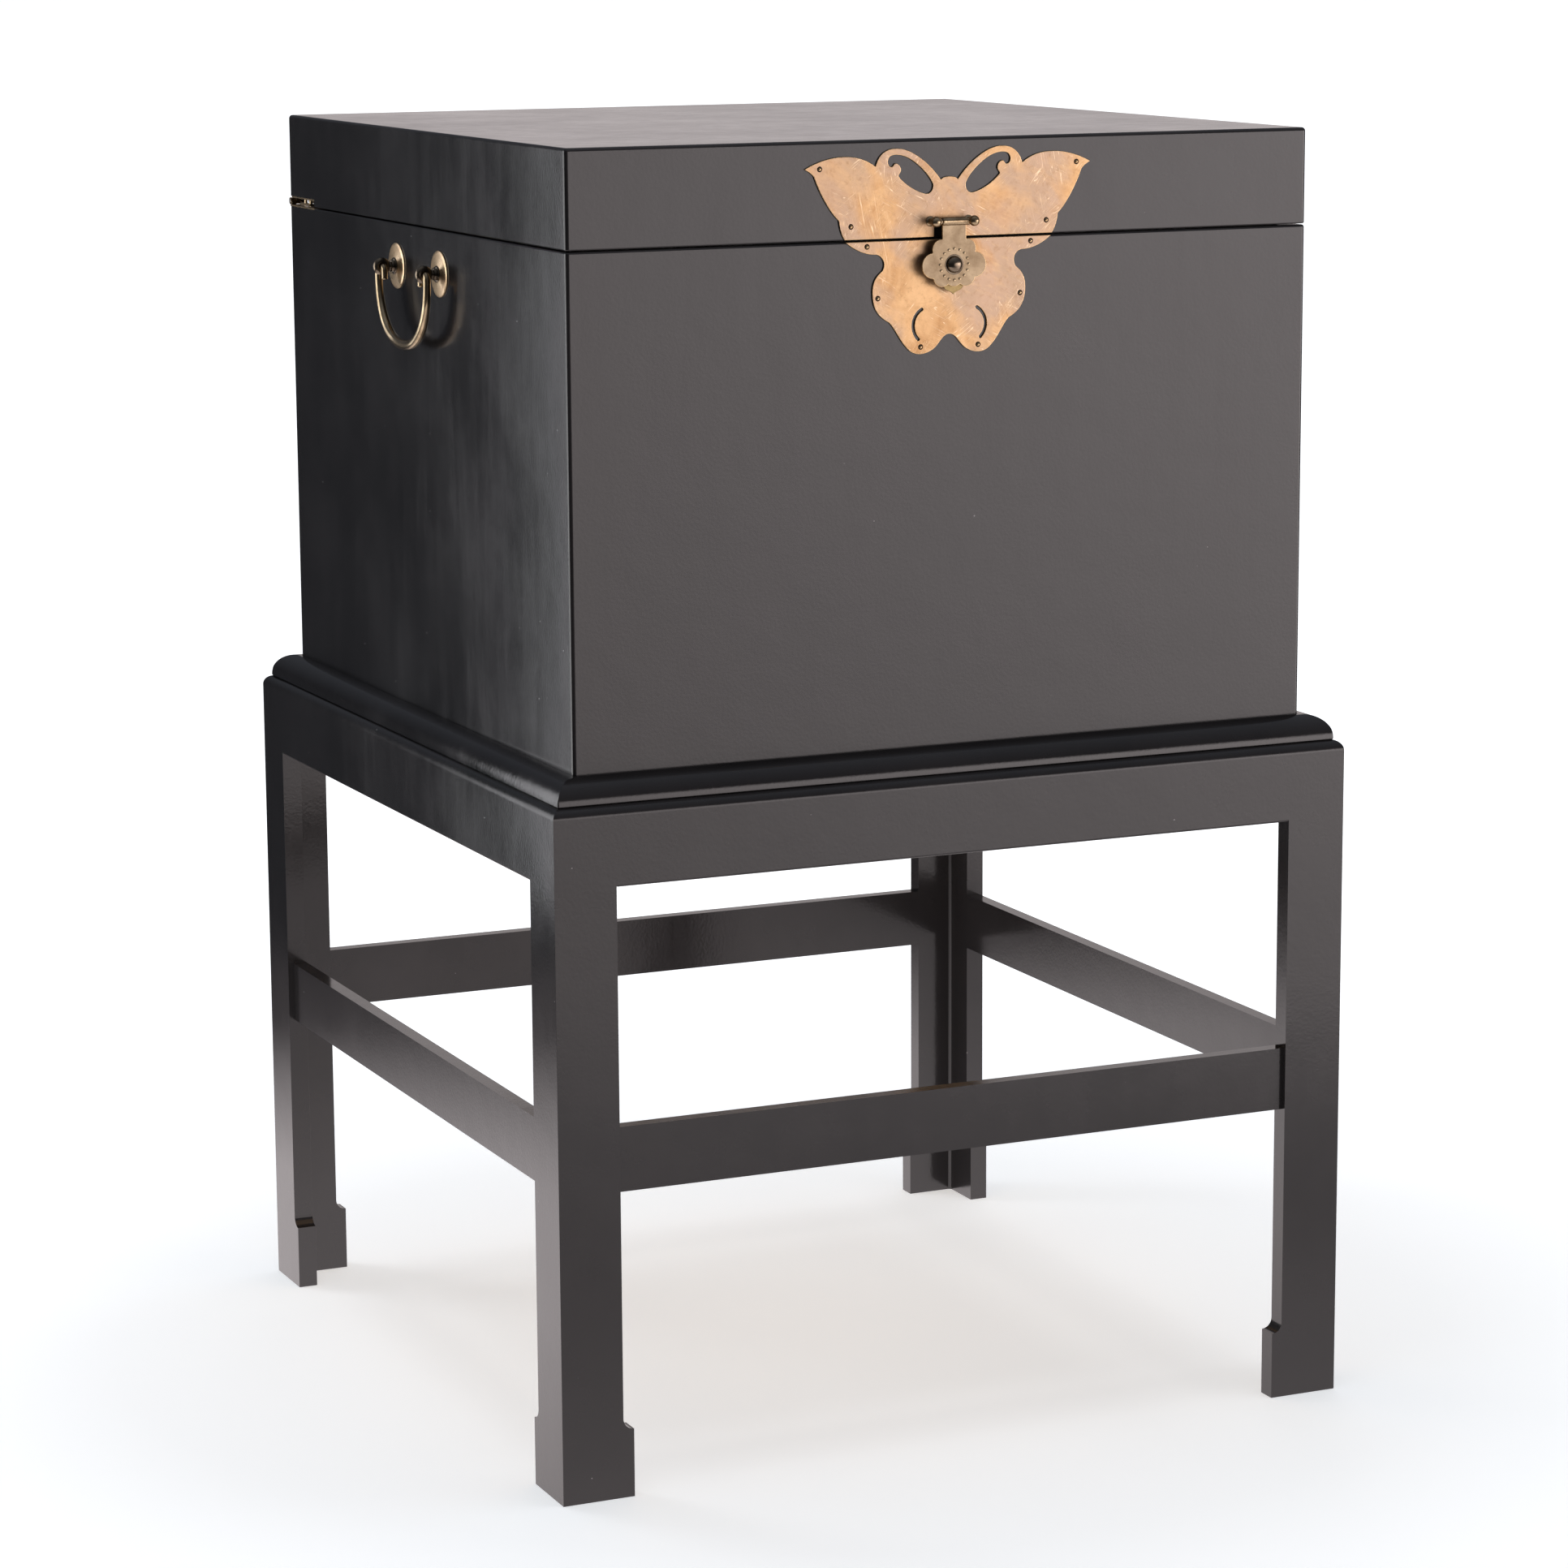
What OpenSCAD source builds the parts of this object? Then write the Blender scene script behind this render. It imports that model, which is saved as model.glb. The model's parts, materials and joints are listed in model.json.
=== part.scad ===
// Lift-top jewelry chest on an open stand: lacquered boards, a split butterfly
// latch plate with a swinging hasp, stop hinges and a bail pull on each side.
// Millimetres. +Z is up, the front faces -Y, the origin is under the middle.

/* [Stand] */
// How far the stand's legs stand out past the chest, on every side
overhang = 26.5; // [22:0.5:40]
// Height of the stand, floor to the top of its aprons
stand_h = 528; // [440:1:640]
// Thickness of the stand's boards
board_t = 16; // [13:0.5:20]
// Width of each board of an L-shaped leg
leg_w = 49; // [40:1:60]
// Width of the foot block at the floor
foot_w = 57.5; // [54:0.5:66]
// Height of the foot block's straight part
foot_h = 53; // [40:1:70]
// Radius of the fillet inside a leg's corner
leg_fillet = 3; // [1:0.5:5]
// Height of the aprons
apron_h = 61; // [50:1:80]
// Radius of the aprons' rounded top edge
apron_round = 8; // [3:0.5:10]
// Height of the stretcher rails
rail_h = 49.5; // [38:0.5:60]
// Height of the rails' lower edges above the floor
rail_z = 235.5; // [120:0.5:300]
// How far a rail's face lies behind the leg's face
rail_setback = 4.5; // [2:0.5:6]
// Radius of the dowels in the aprons and rails
dowel_r = 3; // [2:0.5:4]
// Length of a dowel
dowel_len = 28; // [20:1:40]

/* [Stand top] */
// Thickness of the deck that carries the chest
deck_t = 12; // [9:1:15]
// Gap between the deck and the aprons round it
deck_gap = 0.5; // [0.2:0.1:1]
// Leg length of the triangular corner blocks
block_leg = 62; // [52:1:75]
// Height of the corner blocks
block_h = 34; // [28:1:36]
// How far the moulding stands out from the chest
mould_out = 20.5; // [14:0.5:24]
// Height of the moulding
mould_h = 19; // [13:0.5:24]
// Radius of the moulding's round
mould_r = 17.5; // [12:0.5:20]
// Gap between the moulding and the chest
mould_gap = 0.2; // [0.1:0.1:0.5]

/* [Chest] */
// Width of the chest
chest_w = 610; // [500:1:740]
// Depth of the chest
chest_d = 625; // [510:1:760]
// Height of the chest's walls, deck to rim
chest_h = 400; // [320:1:480]
// Thickness of the chest's walls and the lid's rails
wall_t = 15; // [12:0.5:18]
// Thickness of the chest's bottom panel
bottom_t = 12; // [9:1:15]
// Thickness of the liner boards inside the walls
liner_t = 6; // [4:0.5:8]
// Height of the liner's lip above the rim
lip_h = 8; // [5:0.5:12]
// Gap between the liner's lip and the lid's rails
lip_gap = 0.8; // [0.5:0.1:1.5]
// Thickness of the felt on the chest's floor
felt_t = 1.5; // [1:0.5:3]

/* [Lid] */
// Height of the lid
lid_h = 73.2; // [70:0.1:90]
// Gap between the chest's rim and the lid's edge
seam = 0.8; // [0.5:0.1:1.5]
// Thickness of the lid's top panel
lid_top_t = 12; // [9:1:15]
// Width of the rebate that the top panel drops into
lid_rebate = 7.5; // [5:0.5:9]
// Thickness of the mirror glass
mirror_t = 3; // [2:0.5:4]
// Margin between the mirror's edge and the lid's rails
mirror_margin = 40; // [25:1:70]
// Width of the bead round the mirror
bead_w = 12; // [9:0.5:16]
// Thickness of the bead
bead_t = 7; // [6:0.5:10]
// How far the bead laps over the glass
bead_lap = 4; // [2:0.5:6]

/* [Tray] */
// Height of the lift-out tray
tray_h = 46; // [36:1:60]
// Depth of the tray's top below the rim
tray_drop = 4; // [2:0.5:10]
// Gap between the tray and the liner
tray_gap = 1.5; // [1:0.1:3]
// Thickness of the tray's sides
tray_side_t = 8; // [6:0.5:10]
// Thickness of the tray's floor
tray_floor_t = 4; // [3:0.5:6]
// Thickness of the dividers
divider_t = 5; // [4:0.5:7]
// Height of the dividers
divider_h = 33; // [24:1:36]
// Half width of the bay that holds the ring rolls
roll_bay = 150; // [120:1:180]
// Number of ring rolls
roll_count = 6; // [4:1:8]
// Gap between neighbouring ring rolls
roll_gap = 3.2; // [2:0.1:6]
// Section width of the runners that carry the tray
runner_w = 10; // [8:0.5:14]
// Section height of the runners
runner_h = 14; // [10:1:20]

/* [Latch plate and hasp] */
// Thickness of the latch plates
plate_t = 1.5; // [1:0.1:2.5]
// Gap between the upper and the lower latch plate
plate_gap = 1.2; // [1:0.1:2]
// Height of the hasp's pin above the seam
pin_rise = 12.5; // [11:0.1:15]
// Distance of the hasp's pin from the chest's front
pin_out = 9; // [8:0.1:11]
// Radius of the hasp's pin
hasp_pin_r = 1.5; // [1.2:0.1:2]
// Radius of the hasp's rolled barrel
barrel_r = 3.1; // [2.7:0.1:3.5]
// Half width of the hasp's strap
strap_half = 9.8; // [8:0.1:11]
// Distance from the pin to the middle of the hasp's flower
flower_drop = 31.8; // [29:0.1:34]
// Radius of the hasp's round knob
knob_r = 6.4; // [5:0.1:7.5]
// Half distance between the two ball-headed posts
post_half = 15.7; // [14:0.1:18]
// Radius of the balls on the posts
ball_r = 3.7; // [3.2:0.1:4.2]

/* [Hinges] */
// Length of the hinge leaves along the side walls
hinge_len = 62; // [45:1:70]
// Width of the hinge leaves
hinge_w = 12; // [10:0.5:12]
// Thickness of the hinge leaves
leaf_t = 1.4; // [1.2:0.1:2]
// Depth of the mortise in the lid's edge over a hinge
mortise_h = 6.4; // [6:0.1:8]
// Radius of the hinge barrel
knuckle_r = 2.8; // [2.6:0.1:3.2]
// Radius of the hinge pin
hinge_pin_r = 1.5; // [1:0.1:1.7]
// Distance of the hinge pin behind the chest's back
pin_back = 1; // [0.5:0.1:2]

/* [Bail pulls] */
// Half distance between the posts of a pull
pull_half = 48.5; // [40:0.5:60]
// Height of the pull's posts below the rim
pull_drop = 33.5; // [25:0.5:60]
// Distance of the bail's axis from the side wall
bail_out = 13; // [13:0.1:16]
// Radius of the bail's ends that turn in the posts
bail_end_r = 2.5; // [2:0.1:3]
// Radius of the bail's grip
bail_r = 3.4; // [2.8:0.1:3.8]
// Radius of the eye on a post
eye_r = 7; // [5.5:0.1:8]
// Half thickness of the eye
eye_half = 3.5; // [3:0.1:4.5]
// Length of the bail's turned-down tails
tail_len = 10; // [8:0.1:10]
// Radius of the round rosettes
rosette_r = 18; // [14:0.5:22]
// Radius of a post's threaded shank
shank_r = 2.5; // [2:0.1:3]

/* [Hidden] */
$fn = 64;

// Colours of the finishes
lacquer = [0.09, 0.09, 0.10];
brass = [0.72, 0.53, 0.30];
dark_brass = [0.40, 0.33, 0.25];
steel = [0.62, 0.62, 0.64];
raw_wood = [0.66, 0.52, 0.36];
felt = [0.30, 0.06, 0.10];

// Sizes that follow from the driving ones
eps = 0.01;
front = 0;
right = 90;
back = 180;
left = 270;
cove_r = foot_w - leg_w;
apron_z = stand_h - apron_h;
deck_z = stand_h - deck_t;
block_z = deck_z - block_h;
stand_w = chest_w + 2 * overhang;
stand_d = chest_d + 2 * overhang;
inner_w = stand_w - 2 * board_t;
inner_d = stand_d - 2 * board_t;
rail_t = board_t - rail_setback;
rim_z = stand_h + chest_h;
lid_z = rim_z + seam;
top_z = lid_z + lid_h;
seam_z = rim_z + seam / 2;
floor_z = stand_h + bottom_t;
room_w = chest_w - 2 * wall_t;
room_d = chest_d - 2 * wall_t;
well_w = room_w - 2 * liner_t;
well_d = room_d - 2 * liner_t;
tray_w = well_w - 2 * tray_gap;
tray_d = well_d - 2 * tray_gap;
tray_z = rim_z - tray_drop - tray_h;
tray_in_w = tray_w - 2 * tray_side_t;
tray_in_d = tray_d - 2 * tray_side_t;
bay_z = tray_z + tray_floor_t;
row_y = tray_in_d / 6;
end_bay = 90;
glass_w = room_w - 2 * mirror_margin;
glass_d = room_d - 2 * mirror_margin;
panel_z = top_z - lid_top_t;
face_y = -chest_d / 2;
seam_half = plate_gap / 2;

// Screws: one wood screw for the stand, one small screw for the hinges
screw_r = 2;
screw_len = 24;
screw_head_r = 4;
screw_head_h = 2.4;
block_setin = 4.5;
small_screw_r = 0.9;
small_screw_len = 9;
small_head_r = 1.9;
small_head_h = 0.7;
nail_head_r = 1.9;
nail_r = 0.7;
nail_len = 10;
running_gap = 0.06;

// The latch plate's outline, one half, as cubic curves: each row is a start
// point, two handles and an end point, across and up from the middle of the seam
upper_edge = [
    [[85.4, seam_half], [88.5, 5], [89.8, 10], [90.3, 15.3]],
    [[90.3, 15.3], [97, 21], [106, 36], [110.2, 47.8]],
    [[110.2, 47.8], [112.5, 50.5], [115, 51.8], [117.7, 53.2]],
    [[117.7, 53.2], [103, 61.5], [77, 67], [60.4, 53.9]],
    [[60.4, 53.9], [57, 66], [47, 67.5], [40, 66.5]],
    [[40, 66.5], [28, 64.8], [14, 53], [7, 43]],
    [[7, 43], [5.5, 44.6], [3, 45.3], [0, 45.3]]];
lower_edge = [
    [[84.9, -seam_half], [78, -6.5], [69, -10.6], [61, -10.6]],
    [[61, -10.6], [54.5, -10.8], [51.8, -18.2], [55.2, -22.8]],
    [[55.2, -22.8], [60, -26.5], [63.4, -30.5], [63.3, -39]],
    [[63.3, -39], [63.3, -50], [58.5, -56.5], [49.6, -61]],
    [[49.6, -61], [44.5, -66], [41, -74.5], [35.5, -80]],
    [[35.5, -80], [30.5, -86.2], [22.5, -87.3], [14, -82.6]],
    [[14, -82.6], [8, -79], [6, -71.4], [0, -71.3]]];
antenna_gap = [
    [[13.6, 40], [13, 35.5], [15.5, 32.6], [19.5, 33]],
    [[19.5, 33], [27, 34.5], [36, 40], [41.2, 45.8]],
    [[41.2, 45.8], [42.5, 47.2], [39.5, 48.5], [39.6, 50.8]],
    [[39.6, 50.8], [39.7, 54], [43, 56.8], [44.8, 55.6]],
    [[44.8, 55.6], [46, 54.5], [46, 53], [48, 53.4]],
    [[48, 53.4], [50.6, 54], [51.2, 58.5], [48.6, 60.8]],
    [[48.6, 60.8], [45, 63.2], [37, 61.8], [31, 58]],
    [[31, 58], [24, 53.8], [16, 46], [13.6, 40]]];
leaf_edge = [
    [[0, 5.5], [3, 5.5], [5.5, 3], [5.5, 0]],
    [[5.5, 0], [5.5, -3], [4.8, -6], [5.5, -9]],
    [[5.5, -9], [8, -12], [9.2, -15], [7.4, -17.6]],
    [[7.4, -17.6], [5, -20], [2, -19.6], [0, -22.2]]];
slot_centre = [16.1, -64.3];
slot_r = 13.8;
slot_w = 2.3;
slot_from = -46;
slot_to = 61;
upper_nails = [[105.6, 53.1], [80.5, 10.5]];
lower_nails = [[67.5, -4.6], [58.8, -42.9], [23.8, -80.1]];
notch_half = 12.5;
notch_h = 9;
flower_z = pin_rise - flower_drop;
dot_count = 16;
dot_ring = 11.6;
dot_r = 1.1;
strap_back = pin_out - 0.7;
leaf_t_hasp = 1.2;
rivet_t = 1.5;
stud_gap = 0.4;
stud_r = 5.5;
post_tail = 8;
knob_h = 4.7;

// Hinge places
hinge_y = chest_d / 2 + pin_back;
hinge_z = rim_z + knuckle_r + 0.1;
hinge_x0 = chest_w / 2 - 0.3 - hinge_w;
ear_w = 3.8;
ear_gap = 0.3;
leaf_top_z = lid_z + mortise_h;
link_w = 4;

// Bail pull places
pull_z = rim_z - pull_drop;
bend_r = bail_end_r + 0.6;
leg_y = pull_half + eye_half + 0.4 + bend_r;
tail_y = pull_half - eye_half - 0.4 - bend_r;
bail_drop = bend_r + 1;
rosette_t = 2.4;
nut_pocket = 5.5;
nut_pocket_r = 6.5;

// ---- Curves ----

function mix4(c, t) =
    pow(1 - t, 3) * c[0] + 3 * pow(1 - t, 2) * t * c[1]
    + 3 * (1 - t) * t * t * c[2] + pow(t, 3) * c[3];
function along(curves, steps) =
    [for (c = curves) for (i = [0 : steps - 1]) mix4(c, i / steps)];
function arc(c, r, from, to, n) =
    [for (i = [0 : n]) c + r * [cos(from + (to - from) * i / n), sin(from + (to - from) * i / n)]];
function flip(points) = [for (i = [len(points) - 1 : -1 : 0]) [-points[i][0], points[i][1]]];

// ---- Shared shapes ----

// Turns a front-facing piece to face the given side
module facing(side) {
    rotate([0, 0, side]) children();
}

// One side of a mitred frame: the profile is drawn inward and up from the outer edge
module mitred_side(side, w, d, deep) {
    len = (side == front || side == back) ? w : d;
    off = (side == front || side == back) ? d / 2 : w / 2;
    facing(side) intersection() {
        translate([-len / 2, -off, 0])
            rotate([90, 0, 90]) linear_extrude(len) children();
        linear_extrude(top_z + 10)
            polygon([[-len / 2, -off], [len / 2, -off],
                [len / 2 - deep, -off + deep], [-len / 2 + deep, -off + deep]]);
    }
}

// What is cut away to round the top outer edge of an apron
module top_round() {
    difference() {
        translate([-1, stand_h - apron_round])
            square([apron_round + 1, apron_round + 1]);
        translate([apron_round, stand_h - apron_round]) circle(apron_round);
    }
}

module screw(r, length, head_r, head_h) {
    translate([0, 0, -length]) cylinder(r = r, h = length - head_h + eps);
    translate([0, 0, -head_h]) cylinder(r1 = r, r2 = head_r, h = head_h);
}

module wood_screw() {
    screw(screw_r, screw_len, screw_head_r, screw_head_h);
}

module small_screw() {
    screw(small_screw_r, small_screw_len, small_head_r, small_head_h);
}

// Copies for the left and right side
module both_sides() {
    children();
    mirror([1, 0, 0]) children();
}

module four_corners() {
    both_sides() {
        children();
        mirror([0, 1, 0]) children();
    }
}

// ---- Stand ----

// Every dowel's place, as it lies in the joints of the front left quarter
module dowel_places() {
    apron_rows = [apron_z + apron_h * 0.25, apron_z + apron_h * 0.68];
    rail_rows = [rail_z + rail_h * 0.25, rail_z + rail_h * 0.75];
    for (z = apron_rows) {
        translate([-stand_w / 2 + leg_w, -stand_d / 2 + board_t / 2, z])
            rotate([0, 90, 0]) children();
        translate([-stand_w / 2 + board_t / 2, -stand_d / 2 + leg_w, z])
            rotate([-90, 0, 0]) children();
    }
    for (z = rail_rows) {
        translate([-stand_w / 2 + leg_w, -stand_d / 2 + rail_setback + rail_t / 2, z])
            rotate([0, 90, 0]) children();
        translate([-stand_w / 2 + rail_setback + rail_t / 2, -stand_d / 2 + leg_w, z])
            rotate([-90, 0, 0]) children();
    }
}

module dowel() {
    translate([0, 0, -dowel_len / 2]) cylinder(r = dowel_r, h = dowel_len);
}

module dowel_holes() {
    four_corners() dowel_places() dowel();
}

module dowels() {
    color(raw_wood) dowel_holes();
}

// The screws that hold a corner block to its leg and the deck to the block
module block_screw_places() {
    corner = [-inner_w / 2, -inner_d / 2];
    seat = block_leg / 2 - 20;
    for (z = [block_z + block_h * 0.3, block_z + block_h * 0.7])
        translate([corner[0] + seat, corner[1] + seat, z])
            rotate([0, 0, 45]) rotate([0, 90, 0]) children();
    translate([corner[0] + block_leg * 0.4, corner[1] + block_leg * 0.4, stand_h])
        children();
}

// The screws that hold the chest down, driven up through the deck
module chest_screw_places() {
    for (x = [-1, 1], y = [-1, 1])
        translate([x * chest_w * 0.33, y * chest_d * 0.33, deck_z])
            rotate([180, 0, 0]) children();
}

module frame_screw_set() {
    four_corners() block_screw_places() wood_screw();
    chest_screw_places() wood_screw();
}

module frame_screws() {
    color(steel) frame_screw_set();
}

// A leg board's face: a straight board on a foot block with a coved shoulder
module leg_face() {
    square([leg_w, stand_h]);
    difference() {
        square([foot_w, foot_h + cove_r]);
        translate([foot_w, foot_h + cove_r]) circle(cove_r);
    }
}

module leg() {
    color(lacquer) difference() {
        translate([-stand_w / 2, -stand_d / 2, 0]) difference() {
            union() {
                translate([0, board_t, 0]) rotate([90, 0, 0])
                    linear_extrude(board_t) leg_face();
                mirror([1, -1, 0]) translate([0, board_t, 0]) rotate([90, 0, 0])
                    linear_extrude(board_t) leg_face();
                translate([board_t - eps, board_t - eps, 0]) linear_extrude(stand_h)
                    difference() {
                        square(leg_fillet);
                        translate([leg_fillet, leg_fillet]) circle(leg_fillet);
                    }
            }
            translate([-1, 0, 0]) rotate([90, 0, 90])
                linear_extrude(foot_w + 2) top_round();
            mirror([1, -1, 0]) translate([-1, 0, 0]) rotate([90, 0, 90])
                linear_extrude(foot_w + 2) top_round();
        }
        dowel_places() dowel();
        block_screw_places() wood_screw();
    }
}

module leg_front_left() { leg(); }
module leg_front_right() { mirror([1, 0, 0]) leg(); }
module leg_back_left() { mirror([0, 1, 0]) leg(); }
module leg_back_right() { mirror([1, 0, 0]) mirror([0, 1, 0]) leg(); }

// An apron between two legs, flush with their faces
module apron(side) {
    across = (side == front || side == back);
    len = (across ? stand_w : stand_d) - 2 * leg_w;
    off = (across ? stand_d : stand_w) / 2;
    color(lacquer) difference() {
        facing(side) translate([-len / 2, -off, 0]) rotate([90, 0, 90])
            linear_extrude(len) difference() {
                translate([0, apron_z]) square([board_t, apron_h]);
                top_round();
            }
        dowel_holes();
    }
}

module apron_front() { apron(front); }
module apron_back() { apron(back); }
module apron_left() { apron(left); }
module apron_right() { apron(right); }

// A stretcher rail between two legs, flush with the inside of their boards
module rail(side) {
    across = (side == front || side == back);
    len = (across ? stand_w : stand_d) - 2 * leg_w;
    off = (across ? stand_d : stand_w) / 2;
    color(lacquer) difference() {
        facing(side) translate([-len / 2, -off + rail_setback, rail_z])
            cube([len, rail_t, rail_h]);
        dowel_holes();
    }
}

module rail_front() { rail(front); }
module rail_back() { rail(back); }
module rail_left() { rail(left); }
module rail_right() { rail(right); }

// Triangular blocks in the corners under the deck
module corner_blocks() {
    color(raw_wood) difference() {
        four_corners() translate([-inner_w / 2, -inner_d / 2, block_z])
            linear_extrude(block_h)
                polygon([[block_setin, 0], [block_leg, 0], [0, block_leg],
                    [0, block_setin]]);
        frame_screw_set();
        four_corners() for (z = [block_z + block_h * 0.3, block_z + block_h * 0.7])
            translate([-inner_w / 2, -inner_d / 2, z]) rotate([0, 0, 45])
                rotate([0, 90, 0]) translate([0, 0, (block_leg / 2 - 20) * sqrt(2)])
                    cylinder(r = screw_head_r, h = block_leg);
    }
}

module deck_board() {
    hw = inner_w / 2 - deck_gap;
    hd = inner_d / 2 - deck_gap;
    c = block_setin;
    color(raw_wood) difference() {
        translate([0, 0, deck_z]) linear_extrude(deck_t)
            polygon([[-hw + c, -hd], [hw - c, -hd], [hw, -hd + c], [hw, hd - c],
                [hw - c, hd], [-hw + c, hd], [-hw, hd - c], [-hw, -hd + c]]);
        frame_screw_set();
    }
}

// Quarter-round moulding round the foot of the chest
module moulding(side) {
    deep = mould_out - mould_gap;
    color(lacquer)
        mitred_side(side, chest_w + 2 * mould_out, chest_d + 2 * mould_out, deep)
            translate([0, stand_h]) union() {
                square([deep, mould_h - mould_r]);
                translate([mould_r, 0]) square([deep - mould_r, mould_h]);
                intersection() {
                    translate([mould_r, mould_h - mould_r]) circle(mould_r);
                    translate([0, mould_h - mould_r - eps]) square([mould_r + eps, mould_r + eps]);
                }
            }
}

module moulding_front() { moulding(front); }
module moulding_back() { moulding(back); }
module moulding_left() { moulding(left); }
module moulding_right() { moulding(right); }

// ---- Chest ----

// The shallow seats for the hinge leaves in the rim
module rim_seats() {
    both_sides() translate([hinge_x0, chest_d / 2 - hinge_len, rim_z - leaf_t])
        cube([hinge_w + 1, hinge_len + 1, leaf_t + 1]);
}

// Holes for the pulls' shanks, with a pocket for each nut inside
module pull_holes() {
    for (y = [-pull_half, pull_half]) both_sides() {
        translate([chest_w / 2 - wall_t - 1, y, pull_z]) rotate([0, 90, 0])
            cylinder(r = shank_r + running_gap, h = wall_t + 2);
        translate([chest_w / 2 - wall_t - 1, y, pull_z]) rotate([0, 90, 0])
            cylinder(r = nut_pocket_r, h = nut_pocket + 1);
    }
}

module chest_wall(side) {
    color(lacquer) difference() {
        mitred_side(side, chest_w, chest_d, wall_t)
            translate([0, stand_h]) square([wall_t, chest_h]);
        rim_seats();
        hinge_screw_set(-1);
        pull_holes();
        lower_nail_set();
        stud_tail();
    }
}

module chest_front() { chest_wall(front); }
module chest_back() { chest_wall(back); }
module chest_left() { chest_wall(left); }
module chest_right() { chest_wall(right); }

module chest_bottom() {
    color(lacquer) difference() {
        translate([-room_w / 2, -room_d / 2, stand_h]) cube([room_w, room_d, bottom_t]);
        chest_screw_places() wood_screw();
    }
}

// Thin boards inside the walls, standing above the rim as a lip for the lid
module chest_liners() {
    h = chest_h - bottom_t;
    color(lacquer) for (side = [front, right, back, left])
        mitred_side(side, room_w, room_d, liner_t) translate([0, floor_z])
            polygon([[0, 0], [liner_t, 0], [liner_t, h + lip_h], [lip_gap, h + lip_h],
                [lip_gap, h - eps], [0, h - eps]]);
}

module floor_felt() {
    color(felt) translate([-well_w / 2, -well_d / 2, floor_z])
        cube([well_w, well_d, felt_t]);
}

module tray_runners() {
    color(lacquer) both_sides()
        translate([well_w / 2 - runner_w, -well_d / 2, tray_z - 0.3 - runner_h])
            cube([runner_w, well_d, runner_h]);
}

// ---- Latch plates ----

// Stands a drawing of the latch up on the chest's front, so far out and so thick
module on_front(out, thick) {
    translate([0, face_y - out, seam_z]) rotate([90, 0, 0])
        linear_extrude(thick) children();
}

module half_outline(edge, steps) {
    points = along(edge, steps);
    tip = [0, edge[len(edge) - 1][3][1]];
    polygon(concat(points, [tip], flip(points)));
}

module nail_place(list) {
    for (p = list) both_sides() translate([p[0], face_y, seam_z + p[1]])
        rotate([90, 0, 0]) children();
}

module nail() {
    translate([0, 0, -nail_len]) cylinder(r = nail_r, h = nail_len + plate_t + eps);
    translate([0, 0, plate_t]) cylinder(r1 = nail_head_r, r2 = nail_head_r - 0.6, h = 0.5);
    translate([0, 0, plate_t + 0.5])
        cylinder(r1 = nail_head_r - 0.6, r2 = nail_head_r - 1.3, h = 0.4);
}

module lower_nail_set() { nail_place(lower_nails) nail(); }
module upper_nail_set() { nail_place(upper_nails) nail(); }
module lower_plate_nails() { color(brass) lower_nail_set(); }
module upper_plate_nails() { color(brass) upper_nail_set(); }

module curved_slot() {
    wide = slot_w / 2;
    end_a = slot_centre + slot_r * [cos(slot_from), sin(slot_from)];
    end_b = slot_centre + slot_r * [cos(slot_to), sin(slot_to)];
    polygon(concat(
        arc(slot_centre, slot_r + wide, slot_from, slot_to, 10),
        arc(end_b, wide, slot_to + 30, slot_to + 150, 4),
        arc(slot_centre, slot_r - wide, slot_to, slot_from, 10),
        arc(end_a, wide, slot_from + 210, slot_from + 330, 4)));
}

module stud_tail() {
    translate([0, face_y + post_tail, seam_z + flower_z]) rotate([90, 0, 0])
        cylinder(r = 1.5, h = post_tail + plate_t + eps);
}

module latch_plate_lower() {
    color(brass) difference() {
        on_front(0, plate_t) difference() {
            half_outline(lower_edge, 6);
            curved_slot();
            mirror([1, 0]) curved_slot();
        }
        lower_nail_set();
        stud_tail();
    }
}

module latch_plate_upper() {
    color(brass) difference() {
        on_front(0, plate_t) difference() {
            half_outline(upper_edge, 6);
            polygon(along(antenna_gap, 5));
            mirror([1, 0]) polygon(along(antenna_gap, 5));
            translate([-notch_half, -1]) square([2 * notch_half, notch_h + 1]);
        }
        upper_nail_set();
        post_tails();
    }
}

// The stud that the closed hasp rests against
module catch_stud() {
    reach = strap_back - leaf_t_hasp - rivet_t - stud_gap;
    color(dark_brass) {
        stud_tail();
        translate([0, face_y - plate_t, seam_z + flower_z]) rotate([90, 0, 0])
            cylinder(r = stud_r, h = reach - plate_t);
    }
}

// ---- Hasp ----

module post_tails() {
    for (x = [-post_half, post_half])
        translate([x, face_y + post_tail, seam_z + pin_rise]) rotate([90, 0, 0])
            cylinder(r = 1.5, h = post_tail + plate_t + eps);
}

module hasp_pin() {
    reach = post_half + 1.6;
    collar = strap_half + 0.4;
    color(dark_brass) translate([0, face_y - pin_out, seam_z + pin_rise]) {
        translate([-reach, 0, 0]) rotate([0, 90, 0]) cylinder(r = hasp_pin_r, h = 2 * reach);
        both_sides() translate([collar, 0, 0]) rotate([0, 90, 0])
            cylinder(r = hasp_pin_r + 0.9, h = post_half - 2 - collar);
    }
}

// Two posts with ball heads, riveted through the upper plate
module hasp_posts() {
    ball_out = pin_out + 2.6;
    color(brass) difference() {
        for (x = [-post_half, post_half])
            translate([x, face_y, seam_z + pin_rise]) rotate([90, 0, 0]) {
                translate([0, 0, -post_tail]) cylinder(r = 1.5, h = post_tail + plate_t + eps);
                translate([0, 0, plate_t]) cylinder(r = 3.4, h = 1);
                translate([0, 0, plate_t]) cylinder(r = 2.4, h = ball_out - plate_t);
                translate([0, 0, ball_out]) sphere(ball_r);
            }
        hasp_pin();
    }
}

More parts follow.
